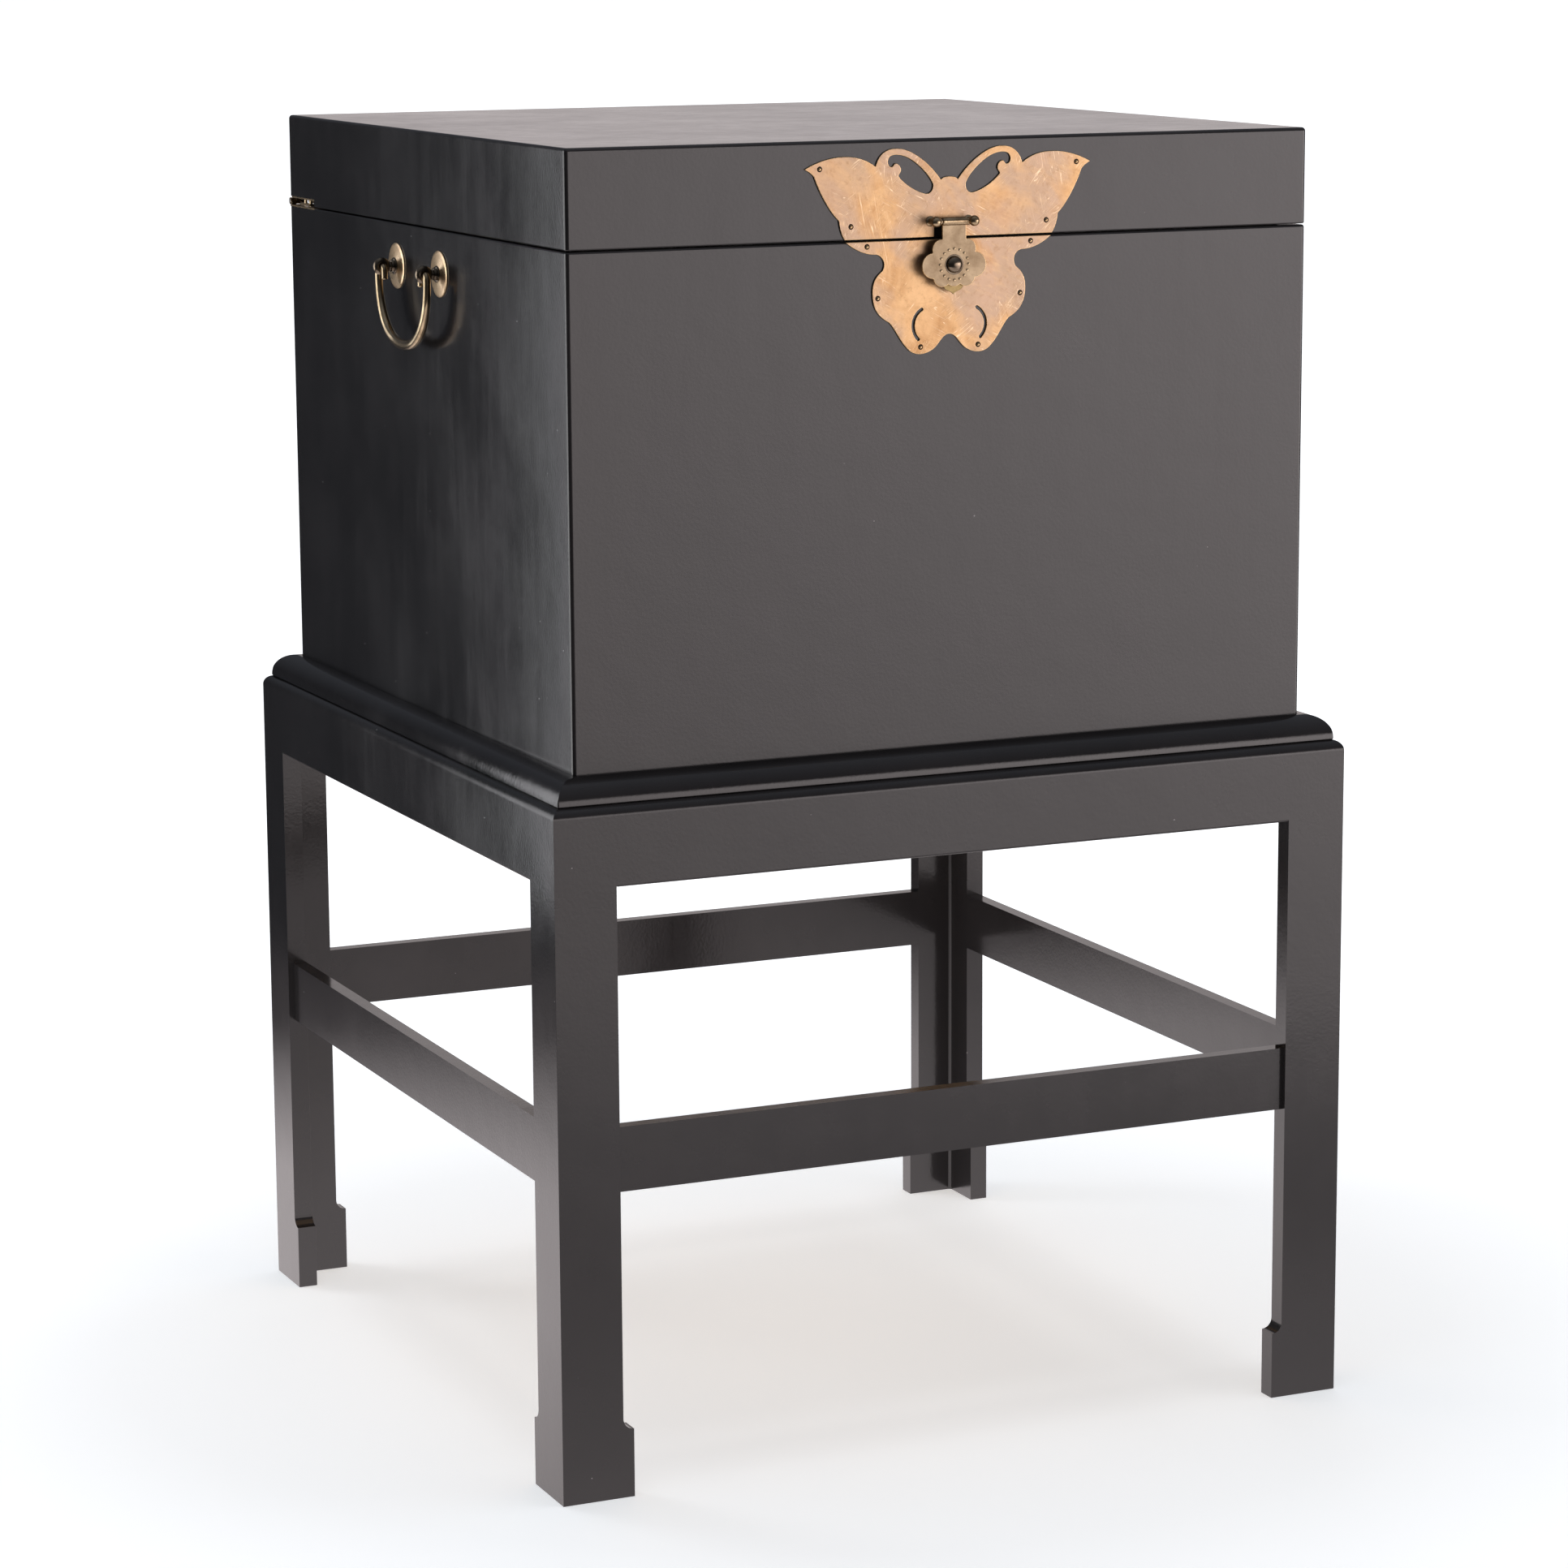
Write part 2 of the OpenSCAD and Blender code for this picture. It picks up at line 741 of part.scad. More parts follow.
// The lobed outline of the hasp's plate
module flower() {
    circle(15.5);
    for (s = [-1, 1]) {
        translate([s * 16.9, -0.6]) circle(9.5);
        translate([s * 10.5, 11.3]) circle(7.5);
        translate([s * 9.8, -9]) circle(7.4);
    }
    translate([0, -8.5]) circle(7.8);
}

// Strap with a rolled barrel, lobed plate and ring of raised dots
module hasp_plate() {
    color(brass) difference() {
        union() {
            on_front(strap_back, plate_t) union() {
                translate([0, flower_z]) flower();
                translate([-strap_half, flower_z]) square([2 * strap_half, flower_drop]);
            }
            translate([-strap_half, face_y - pin_out, seam_z + pin_rise])
                rotate([0, 90, 0]) cylinder(r = barrel_r, h = 2 * strap_half);
            for (i = [0 : dot_count - 1]) {
                a = 360 * i / dot_count;
                translate([dot_ring * cos(a), face_y - strap_back - plate_t + 0.2,
                    seam_z + flower_z + dot_ring * sin(a)]) sphere(dot_r, $fn = 20);
            }
        }
        translate([-strap_half - 1, face_y - pin_out, seam_z + pin_rise])
            rotate([0, 90, 0])
                cylinder(r = hasp_pin_r + running_gap, h = 2 * strap_half + 2);
        knob_stem();
    }
}

module knob_stem() {
    thick = plate_t + leaf_t_hasp + rivet_t;
    translate([0, face_y - strap_back - plate_t + thick, seam_z + flower_z])
        rotate([90, 0, 0]) cylinder(r = 2, h = thick + eps);
}

// Domed knob riveted through the hasp
module hasp_knob() {
    ball = (knob_r * knob_r + knob_h * knob_h) / (2 * knob_h);
    color(dark_brass) {
        knob_stem();
        translate([0, face_y - strap_back + leaf_t_hasp + rivet_t, seam_z + flower_z])
            rotate([90, 0, 0]) cylinder(r = 4.5, h = rivet_t);
        translate([0, face_y - strap_back - plate_t, seam_z + flower_z])
            rotate([90, 0, 0]) intersection() {
                translate([0, 0, knob_h - ball]) sphere(ball);
                cylinder(r = knob_r + 1, h = knob_h + 1);
            }
    }
}

// Pointed thumb leaf behind the flower
module hasp_leaf() {
    color(dark_brass) difference() {
        on_front(strap_back - leaf_t_hasp, leaf_t_hasp)
            translate([0, flower_z]) half_outline(leaf_edge, 6);
        knob_stem();
    }
}

// ---- Stop hinges ----

// Three screws through each leaf; way is -1 into the chest and 1 into the lid
module hinge_screw_set(way) {
    head_z = way < 0 ? rim_z : leaf_top_z - leaf_t;
    both_sides() for (f = [0.15, 0.45, 0.78])
        translate([hinge_x0 + hinge_w * 0.72, chest_d / 2 - hinge_len * f - 3, head_z])
            rotate([way < 0 ? 0 : 180, 0, 0]) small_screw();
}

module hinge_screws_chest() { color(brass) hinge_screw_set(-1); }
module hinge_screws_lid() { color(brass) hinge_screw_set(1); }

module hinge_barrel(x0, len, r) {
    translate([x0, hinge_y, hinge_z]) rotate([0, 90, 0]) cylinder(r = r, h = len);
}

module hinge_pins() {
    color(steel) both_sides() hinge_barrel(hinge_x0 - 0.2, hinge_w + 0.4, hinge_pin_r);
}

// Lower leaves, let into the rim, with two ears each round the pin
module hinge_leaves_chest() {
    color(brass) difference() {
        both_sides() {
            translate([hinge_x0, chest_d / 2 - hinge_len, rim_z - leaf_t])
                cube([hinge_w, hinge_len, leaf_t]);
            for (x = [hinge_x0, hinge_x0 + hinge_w - ear_w]) {
                hinge_barrel(x, ear_w, knuckle_r);
                translate([x, chest_d / 2 - knuckle_r - 1, rim_z - eps])
                    cube([ear_w, knuckle_r + 1, knuckle_r]);
            }
        }
        both_sides() hinge_barrel(hinge_x0 - 1, hinge_w + 2, hinge_pin_r);
        hinge_screw_set(-1);
    }
}

// Upper leaves, let into the lid, with the middle knuckle and the stop link
module hinge_leaves_lid() {
    mid_x = hinge_x0 + ear_w + ear_gap;
    mid_w = hinge_w - 2 * ear_w - 2 * ear_gap;
    leaf_z = leaf_top_z - leaf_t;
    color(brass) difference() {
        both_sides() {
            translate([hinge_x0, chest_d / 2 - hinge_len, leaf_z])
                cube([hinge_w, hinge_len - knuckle_r - 1, leaf_t]);
            translate([mid_x, chest_d / 2 - knuckle_r - 1 - eps, hinge_z])
                cube([mid_w, knuckle_r + 1 + pin_back, leaf_top_z - hinge_z]);
            hinge_barrel(mid_x, mid_w, knuckle_r);
            translate([hinge_x0 + hinge_w - link_w, chest_d / 2 - 50, hinge_z - 1.9])
                cube([link_w, 24, 1.8]);
            for (y = [48, 35])
                translate([hinge_x0 + hinge_w - link_w / 2, chest_d / 2 - y, hinge_z - 2.3])
                    cylinder(r = 1.3, h = leaf_z - hinge_z + 2.3 + eps);
        }
        both_sides() hinge_barrel(mid_x - 1, mid_w + 2, hinge_pin_r + running_gap);
        hinge_screw_set(1);
    }
}

// ---- Lid ----

// The mortises over the hinges, open at the side and the back
module lid_mortises() {
    both_sides()
        translate([chest_w / 2 - wall_t - 1, chest_d / 2 - hinge_len - 0.5, lid_z - 1])
            cube([wall_t + 2, hinge_len + 2, mortise_h + 1]);
}

module lid_rail(side) {
    ledge = lid_h - lid_top_t;
    color(lacquer) difference() {
        mitred_side(side, chest_w, chest_d, wall_t) translate([0, lid_z])
            polygon([[0, 0], [wall_t, 0], [wall_t, ledge], [lid_rebate, ledge],
                [lid_rebate, lid_h], [0, lid_h]]);
        lid_mortises();
        hinge_screw_set(1);
        upper_nail_set();
        post_tails();
    }
}

module lid_front() { lid_rail(front); }
module lid_back() { lid_rail(back); }
module lid_left() { lid_rail(left); }
module lid_right() { lid_rail(right); }

module lid_top() {
    w = chest_w - 2 * lid_rebate;
    d = chest_d - 2 * lid_rebate;
    color(lacquer) translate([-w / 2, -d / 2, panel_z]) cube([w, d, lid_top_t]);
}

module lid_mirror() {
    color([0.82, 0.85, 0.87])
        translate([-glass_w / 2, -glass_d / 2, panel_z - mirror_t])
            cube([glass_w, glass_d, mirror_t]);
}

// Rebated bead that holds the mirror against the top panel
module mirror_bead() {
    grow = 2 * (bead_w - bead_lap);
    color(lacquer) for (side = [front, right, back, left])
        mitred_side(side, glass_w + grow, glass_d + grow, bead_w)
            translate([0, panel_z - bead_t])
                polygon([[1.5, 0], [bead_w - 3, 0], [bead_w, 3], [bead_w, bead_t - mirror_t],
                    [bead_w - bead_lap, bead_t - mirror_t], [bead_w - bead_lap, bead_t],
                    [0, bead_t], [0, 1.5]]);
}

// ---- Tray ----

// The finger notches in the tray's left and right sides
module finger_notches() {
    notch_w = 38;
    notch_r = 16;
    hull() for (y = [-notch_w / 2, notch_w / 2])
        translate([-tray_w / 2 - 1, y, tray_z + tray_h])
            rotate([0, 90, 0]) cylinder(r = notch_r, h = tray_w + 2, $fn = 32);
}

module tray_sides() {
    color(lacquer) difference() {
        for (side = [front, right, back, left])
            mitred_side(side, tray_w, tray_d, tray_side_t)
                translate([0, tray_z]) square([tray_side_t, tray_h]);
        finger_notches();
    }
}

module tray_floor() {
    color(lacquer) translate([-tray_in_w / 2, -tray_in_d / 2, tray_z])
        cube([tray_in_w, tray_in_d, tray_floor_t]);
}

// Where the cross dividers stand: [x, row], the rows counted from the front
cross_dividers = [[-roll_bay, -1], [roll_bay, -1], [-end_bay, 0], [end_bay, 0], [0, 1]];

module tray_dividers() {
    color(lacquer) translate([0, 0, bay_z]) {
        for (s = [-1, 1]) translate([-tray_in_w / 2, s * row_y - divider_t / 2, 0])
            cube([tray_in_w, divider_t, divider_h]);
        for (c = cross_dividers)
            translate([c[0] - divider_t / 2, row_low(c[1]), 0])
                cube([divider_t, row_high(c[1]) - row_low(c[1]), divider_h]);
    }
}

function row_low(row) = row < 0 ? -tray_in_d / 2 : row * 2 * row_y - row_y + divider_t / 2;
function row_high(row) = row > 0 ? tray_in_d / 2 : row * 2 * row_y + row_y - divider_t / 2;

// The bays between the dividers: [row, low x, high x]
half_t = divider_t / 2;
bays = [[-1, -tray_in_w / 2, -roll_bay - half_t], [-1, -roll_bay + half_t, roll_bay - half_t],
    [-1, roll_bay + half_t, tray_in_w / 2],
    [0, -tray_in_w / 2, -end_bay - half_t], [0, -end_bay + half_t, end_bay - half_t],
    [0, end_bay + half_t, tray_in_w / 2],
    [1, -tray_in_w / 2, -half_t], [1, half_t, tray_in_w / 2]];

module tray_felt() {
    edge = 0.3;
    color(felt) for (b = bays)
        translate([b[1] + edge, row_low(b[0]) + edge, bay_z])
            cube([b[2] - b[1] - 2 * edge, row_high(b[0]) - row_low(b[0]) - 2 * edge, felt_t]);
}

// Padded rolls that grip the rings, lying side by side in the middle front bay
module ring_rolls() {
    y0 = row_low(-1);
    pitch = (row_high(-1) - y0) / roll_count;
    r = (pitch - roll_gap) / 2;
    reach = roll_bay - half_t - 1;
    color(felt) for (i = [0 : roll_count - 1])
        translate([-reach, y0 + (i + 0.5) * pitch, bay_z + felt_t + r + 0.3])
            rotate([0, 90, 0]) cylinder(r = r, h = 2 * reach);
}

// ---- Bail pulls ----

module pull_place() {
    for (y = [-pull_half, pull_half]) both_sides()
        translate([chest_w / 2, y, pull_z]) rotate([0, 90, 0]) children();
}

module pull_shank() {
    translate([0, 0, 0.4 - wall_t]) cylinder(r = shank_r, h = wall_t + 5);
}

module pull_rosettes() {
    color(brass) pull_place() difference() {
        union() {
            cylinder(r = rosette_r, h = 1.3);
            translate([0, 0, 1.3 - eps])
                cylinder(r1 = rosette_r - 2, r2 = rosette_r - 7, h = rosette_t - 1.3);
        }
        translate([0, 0, -1]) cylinder(r = shank_r, h = rosette_t + 2);
    }
}

// Turned posts: shank, collar, neck and an eye for the bail
module pull_posts() {
    color(dark_brass) pull_place() difference() {
        union() {
            pull_shank();
            translate([0, 0, rosette_t]) cylinder(r = 6.2, h = 2);
            translate([0, 0, rosette_t]) cylinder(r1 = 4.6, r2 = 3.2, h = bail_out - rosette_t);
            translate([0, -eye_half, bail_out]) rotate([-90, 0, 0])
                cylinder(r = eye_r, h = 2 * eye_half);
        }
        translate([0, -eye_half - 1, bail_out]) rotate([-90, 0, 0])
            cylinder(r = bail_end_r + running_gap, h = 2 * eye_half + 2);
    }
}

// A hexagonal nut and washer on each shank, in the pocket behind the liner
module pull_nuts() {
    seat = wall_t - nut_pocket;
    color(steel) pull_place() difference() {
        union() {
            translate([0, 0, -seat - 1]) cylinder(r = 5.8, h = 1);
            translate([0, 0, -seat - 4.6]) cylinder(r = 4.6, h = 3.7, $fn = 6);
        }
        translate([0, 0, -wall_t - 1]) cylinder(r = shank_r, h = wall_t + 2);
    }
}

// One end of the bail: up from the grip, through the eye and down to the tail
module bail_end() {
    translate([0, leg_y - bend_r, -bend_r]) rotate([90, 0, 90])
        rotate_extrude(angle = 90) translate([bend_r, 0]) circle(bail_end_r);
    translate([0, tail_y + bend_r, -bend_r]) rotate([90, 0, 90])
        rotate([0, 0, 90]) rotate_extrude(angle = 90)
            translate([bend_r, 0]) circle(bail_end_r);
    translate([0, tail_y + bend_r, 0]) rotate([-90, 0, 0])
        cylinder(r = bail_end_r, h = leg_y - tail_y - 2 * bend_r);
    translate([0, tail_y, -tail_len]) cylinder(r = bail_end_r, h = tail_len - bend_r);
    translate([0, leg_y, -bail_drop]) cylinder(r = bail_r, h = bail_drop - bend_r);
}

module bail() {
    translate([chest_w / 2 + bail_out, 0, pull_z]) {
        translate([0, 0, -bail_drop]) rotate([90, 0, 90]) rotate([0, 0, 180])
            rotate_extrude(angle = 180) translate([leg_y, 0]) circle(bail_r);
        bail_end();
        mirror([0, 1, 0]) bail_end();
    }
}

module bail_right() { color(dark_brass) bail(); }
module bail_left() { color(dark_brass) mirror([1, 0, 0]) bail(); }

leg_front_left();
leg_front_right();
leg_back_left();
leg_back_right();
apron_front();
apron_back();
apron_left();
apron_right();
rail_front();
rail_back();
rail_left();
rail_right();
dowels();
corner_blocks();
deck_board();
frame_screws();
moulding_front();
moulding_back();
moulding_left();
moulding_right();
chest_front();
chest_back();
chest_left();
chest_right();
chest_bottom();
chest_liners();
floor_felt();
tray_runners();
latch_plate_lower();
lower_plate_nails();
catch_stud();
pull_rosettes();
pull_posts();
pull_nuts();
hinge_leaves_chest();
hinge_pins();
hinge_screws_chest();
tray_sides();
tray_floor();
tray_dividers();
tray_felt();
ring_rolls();
lid_top();
lid_front();
lid_back();
lid_left();
lid_right();
lid_mirror();
mirror_bead();
latch_plate_upper();
upper_plate_nails();
hasp_posts();
hasp_pin();
hinge_leaves_lid();
hinge_screws_lid();
hasp_plate();
hasp_knob();
hasp_leaf();
bail_left();
bail_right();
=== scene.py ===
"""Looks for a lift-top jewelry chest on an open stand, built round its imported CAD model."""

import json
import math

import bmesh
import bpy
from mathutils import Matrix, Vector

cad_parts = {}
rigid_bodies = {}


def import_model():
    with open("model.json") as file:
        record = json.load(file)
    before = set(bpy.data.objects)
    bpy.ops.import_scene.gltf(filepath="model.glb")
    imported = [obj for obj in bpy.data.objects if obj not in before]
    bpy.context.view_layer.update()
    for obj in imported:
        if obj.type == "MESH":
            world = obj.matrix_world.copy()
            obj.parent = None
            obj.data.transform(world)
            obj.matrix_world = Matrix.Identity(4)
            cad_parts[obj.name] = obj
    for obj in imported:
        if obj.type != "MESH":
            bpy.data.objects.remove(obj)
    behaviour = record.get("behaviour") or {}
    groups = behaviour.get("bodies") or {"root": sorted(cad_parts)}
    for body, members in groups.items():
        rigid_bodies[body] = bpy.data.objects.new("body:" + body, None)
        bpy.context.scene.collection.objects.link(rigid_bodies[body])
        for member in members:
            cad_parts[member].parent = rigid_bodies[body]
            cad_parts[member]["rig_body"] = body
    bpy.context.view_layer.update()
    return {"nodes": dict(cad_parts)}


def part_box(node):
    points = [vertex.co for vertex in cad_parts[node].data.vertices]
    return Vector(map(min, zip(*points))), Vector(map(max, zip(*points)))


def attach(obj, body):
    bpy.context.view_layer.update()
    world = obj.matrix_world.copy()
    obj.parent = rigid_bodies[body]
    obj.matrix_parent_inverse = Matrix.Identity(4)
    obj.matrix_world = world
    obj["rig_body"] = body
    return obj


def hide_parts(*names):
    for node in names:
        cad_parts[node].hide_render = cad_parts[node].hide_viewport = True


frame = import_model()
scene = bpy.context.scene
scene.view_settings.view_transform = "Standard"

MM = 0.001
BODY_OF = {name: node["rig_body"] for name, node in frame["nodes"].items()}

# ---- Sizes read from the frame ----


def span(node, axis):
    """Where a CAD node starts and ends along one axis."""
    low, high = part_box(node)
    return low[axis], high[axis]


CHEST_X = span("chest_front", 0)[1]
CHEST_Y = span("chest_right", 1)[1]
CHEST_Z0, RIM_Z = span("chest_front", 2)
LID_Z0, LID_Z1 = span("lid_front", 2)
WALL_T = span("chest_front", 1)[1] - span("chest_front", 1)[0]
LID_TOP_Z = span("lid_top", 2)[0]
LID_TOP_X = span("lid_top", 0)[1]
FACE_Y = -CHEST_Y
SEAM_Z = (RIM_Z + LID_Z0) / 2
PLATE_T = span("latch_plate_lower", 1)[1] - span("latch_plate_lower", 1)[0]
STAND_X = span("leg_front_right", 0)[1]
STAND_Y = span("leg_back_left", 1)[1]
APRON_Z = span("apron_front", 2)[0]
LEG_IN_X = span("apron_front", 0)[1]
LEG_IN_Y = span("apron_left", 1)[1]
RAIL_Z0, RAIL_Z1 = span("rail_front", 2)
PIN_Y = sum(span("hasp_pin", 1)) / 2
PIN_Z = sum(span("hasp_pin", 2)) / 2
FLOWER_Z = sum(span("hasp_knob", 2)) / 2
STRAP_FRONT_Y = span("hasp_leaf", 1)[0]
PULL_X = sum(span("bail_right", 0)) / 2
PULL_Z = sum(span("pull_rosettes", 2)) / 2
ROSETTE_R = (span("pull_rosettes", 2)[1] - span("pull_rosettes", 2)[0]) / 2
PULL_Y = span("pull_rosettes", 1)[1] - ROSETTE_R

# ---- Materials ----


class Nodes:
    """Adds and links shader nodes in one material."""

    def __init__(self, tree):
        self.tree = tree

    def add(self, kind, inputs=(), **settings):
        node = self.tree.nodes.new(kind)
        for key, value in settings.items():
            setattr(node, key, value)
        for key, value in dict(inputs).items():
            self.put(node.inputs[key], value)
        return node

    def put(self, socket, value):
        if isinstance(value, bpy.types.NodeSocket):
            self.tree.links.new(value, socket)
        else:
            socket.default_value = value

    def place(self, scale=(1, 1, 1), turn=(0, 0, 0)):
        """The piece's own coordinates, turned first and then stretched along each axis."""
        where = self.add("ShaderNodeTexCoord")
        mapping = self.add("ShaderNodeMapping", {"Vector": where.outputs["Object"]})
        mapping.vector_type = "TEXTURE"
        mapping.inputs["Rotation"].default_value = turn
        mapping.inputs["Scale"].default_value = [1 / s for s in scale]
        return mapping.outputs["Vector"]

    def noise(self, vector, scale, detail=3.0, rough=0.5, distort=0.0):
        node = self.add("ShaderNodeTexNoise", {"Vector": vector, "Scale": scale, "Detail": detail,
                                               "Roughness": rough, "Distortion": distort})
        return node.outputs["Fac"]

    def cells(self, vector, scale, feature="F1"):
        node = self.add("ShaderNodeTexVoronoi", {"Vector": vector, "Scale": scale}, feature=feature)
        return node.outputs["Distance"]

    def span(self, value, low, high, to_low=0.0, to_high=1.0):
        node = self.add("ShaderNodeMapRange", {"Value": value, "From Min": low, "From Max": high,
                                               "To Min": to_low, "To Max": to_high})
        return node.outputs["Result"]

    def math(self, how, a, b=0.0):
        node = self.add("ShaderNodeMath", operation=how)
        self.put(node.inputs[0], a)
        self.put(node.inputs[1], b)
        return node.outputs[0]

    def blend(self, share, a, b, how="MIX"):
        node = self.add("ShaderNodeMix", data_type="RGBA", blend_type=how)
        self.put(node.inputs[0], share)
        self.put(node.inputs[6], a if isinstance(a, bpy.types.NodeSocket) else (*a, 1))
        self.put(node.inputs[7], b if isinstance(b, bpy.types.NodeSocket) else (*b, 1))
        return node.outputs[2]

    def bump(self, height, strength, distance):
        node = self.add("ShaderNodeBump", {"Height": height, "Strength": strength,
                                           "Distance": distance})
        return node.outputs["Normal"]

    def dress(self, shader, colour, rough=None, normal=None):
        """Gives the shader its colour, and its roughness and bump where they vary."""
        for label, value in (("Base Color", colour), ("Roughness", rough), ("Normal", normal)):
            if value is not None:
                self.put(shader.inputs[label], value)


def finish(name, **constants):
    """A new material with constants on the shader's own sockets, and its node helper."""
    made = bpy.data.materials.new(name)
    made.use_nodes = True
    shader = made.node_tree.nodes["Principled BSDF"]
    for key, value in constants.items():
        shader.inputs[key.replace("_", " ")].default_value = value
    return made, shader, Nodes(made.node_tree)


def lacquer(name, dark=1.0, rough=0.16, flow=1.0):
    """Black lacquer: sprayed film with a slight orange peel, rubbed haze and a few specks."""
    made, shader, n = finish(name, IOR=1.5)
    at = n.place()
    haze = n.noise(at, 9.0, 4.0, 0.6)
    base = n.blend(n.span(haze, 0.35, 0.7), (0.015 * dark, 0.0138 * dark, 0.0142 * dark),
                   (0.021 * dark, 0.019 * dark, 0.0195 * dark))
    speck_zone = n.noise(at, 160.0, 1.0)
    speck = n.math("MULTIPLY", n.span(n.cells(at, 55.0), 0.035, 0.028),
                   n.span(speck_zone, 0.56, 0.6))
    base = n.blend(n.math("MULTIPLY", speck, 0.8), base, (0.30, 0.29, 0.29))
    smear = n.noise(n.place((1, 1, 0.10)), 60.0, 4.0, 0.65, 0.3)
    rough_all = n.math("ADD", n.span(haze, 0.3, 0.75, rough - 0.03, rough + 0.04),
                       n.span(smear, 0.42, 0.72, 0.0, 0.03))
    peel = n.noise(at, 420.0, 2.0, 0.5)
    wave = n.noise(at, 26.0, 2.0, 0.5)
    height = n.math("ADD", n.math("MULTIPLY", peel, 0.35), wave)
    n.dress(shader, base, rough_all, n.bump(height, 0.10 * flow, 0.0012))
    return made


def brass_plate(name):
    """Hand-rubbed sheet brass: warm ground, greyish-pink clouds, dark pits and fine scratches."""
    made, shader, n = finish(name, Metallic=1.0)
    at = n.place()
    ground = n.noise(at, 26.0, 5.0, 0.62, 0.9)
    wash = n.noise(n.place((1, 1, 1.4), (0.3, 0.8, 0.2)), 13.0, 4.0, 0.55, 0.5)
    colour = n.blend(n.span(ground, 0.34, 0.64), (0.37, 0.205, 0.09), (0.68, 0.44, 0.23))
    colour = n.blend(n.span(wash, 0.47, 0.62, 0.0, 0.75), colour, (0.39, 0.285, 0.215))
    fine = n.noise(at, 240.0, 5.0, 0.75, 0.4)
    colour = n.blend(n.span(fine, 0.52, 0.72, 0.0, 0.5), colour, (0.26, 0.135, 0.05))
    rub = n.noise(n.place((1, 1, 4), (0.0, 0.45, 0.0)), 90.0, 4.0, 0.7)
    colour = n.blend(n.span(rub, 0.52, 0.74, 0.0, 0.35), colour, (0.66, 0.45, 0.24))
    scratch = None
    for turn, scale in ((0.5, 26.0), (-0.9, 33.0), (1.35, 23.0), (2.5, 30.0)):
        line = n.noise(n.place((1, 1, 26), (0.0, turn, 0.0)), scale, 0.0, 0.3, 0.15)
        line = n.span(n.math("ABSOLUTE", n.math("SUBTRACT", line, 0.5)), 0.016, 0.006)
        zone = n.span(n.noise(n.place((1, 1, 1), (0.0, turn, 1.0)), 30.0, 2.0), 0.53, 0.62)
        line = n.math("MULTIPLY", line, zone)
        scratch = line if scratch is None else n.math("MAXIMUM", scratch, line)
    colour = n.blend(n.math("MULTIPLY", scratch, 0.6), colour, (0.95, 0.76, 0.52))
    height = n.math("SUBTRACT", n.math("MULTIPLY", fine, 0.5), n.math("MULTIPLY", scratch, 0.4))
    height = n.math("ADD", height, n.noise(at, 60.0, 2.0))
    n.dress(shader, colour, n.span(ground, 0.3, 0.7, 0.34, 0.48), n.bump(height, 0.2, 0.0006))
    return made


def cast_brass(name, bright, dark, rough, clouds=60.0, wear=0.5):
    """Cast or turned brass with a patina that is rubbed off in patches."""
    made, shader, n = finish(name, Metallic=1.0)
    at = n.place()
    patch = n.noise(at, clouds, 5.0, 0.65, 0.3)
    colour = n.blend(n.span(patch, 0.5 - wear * 0.3, 0.5 + wear * 0.35), dark, bright)
    grit = n.noise(at, 900.0, 2.0, 0.6)
    colour = n.blend(n.span(grit, 0.55, 0.75, 0.0, 0.35), colour,
                     tuple(c * 0.5 for c in dark))
    n.dress(shader, colour, n.span(patch, 0.3, 0.7, rough + 0.08, rough - 0.04),
            n.bump(n.math("ADD", patch, grit), 0.05, 0.0004))
    return made


def felt_cloth(name, light, dark, fuzz=1.0):
    """Felt or suede: short fibres over a softly brushed nap, with a little sheen."""
    made, shader, n = finish(name, Roughness=0.95, Sheen_Weight=0.5, Sheen_Roughness=0.5,
                             Specular_IOR_Level=0.15)
    at = n.place()
    fibre = n.noise(at, 900.0 * fuzz, 5.0, 0.75, 0.8)
    nap = n.noise(n.place((1, 3, 1)), 60.0, 3.0, 0.6)
    share = n.math("ADD", n.math("MULTIPLY", fibre, 0.6), n.math("MULTIPLY", nap, 0.4))
    n.dress(shader, n.blend(n.span(share, 0.35, 0.65), dark, light),
            normal=n.bump(share, 0.5, 0.0008))
    return made


def bare_wood(name):
    """Unpainted wood with long rings and fine pores."""
    made, shader, n = finish(name)
    rings = n.noise(n.place((1.0, 14.0, 14.0)), 9.0, 5.0, 0.6, 1.2)
    pores = n.noise(n.place((10.0, 260.0, 260.0)), 3.0, 2.0, 0.5)
    colour = n.blend(n.span(rings, 0.35, 0.68), (0.50, 0.33, 0.17), (0.70, 0.52, 0.32))
    colour = n.blend(n.span(pores, 0.58, 0.72, 0.0, 0.5), colour, (0.30, 0.18, 0.09))
    n.dress(shader, colour, n.span(rings, 0.3, 0.7, 0.5, 0.68),
            n.bump(n.math("ADD", rings, pores), 0.2, 0.0006))
    return made


def plated_steel(name):
    """Plated steel, brushed one way."""
    made, shader, n = finish(name, Metallic=1.0)
    brushed = n.noise(n.place((1, 1, 18)), 260.0, 3.0, 0.6)
    n.dress(shader, n.blend(brushed, (0.48, 0.48, 0.49), (0.68, 0.68, 0.69)),
            n.span(brushed, 0.3, 0.7, 0.28, 0.42), n.bump(brushed, 0.1, 0.0003))
    return made


def silvered_glass(name):
    """Mirror glass, hardly dulled."""
    made, shader, n = finish(name, Metallic=1.0)
    spots = n.noise(n.place(), 5.0, 3.0, 0.6)
    n.dress(shader, n.blend(spots, (0.80, 0.83, 0.83), (0.86, 0.88, 0.88)),
            n.span(spots, 0.4, 0.7, 0.015, 0.04))
    return made


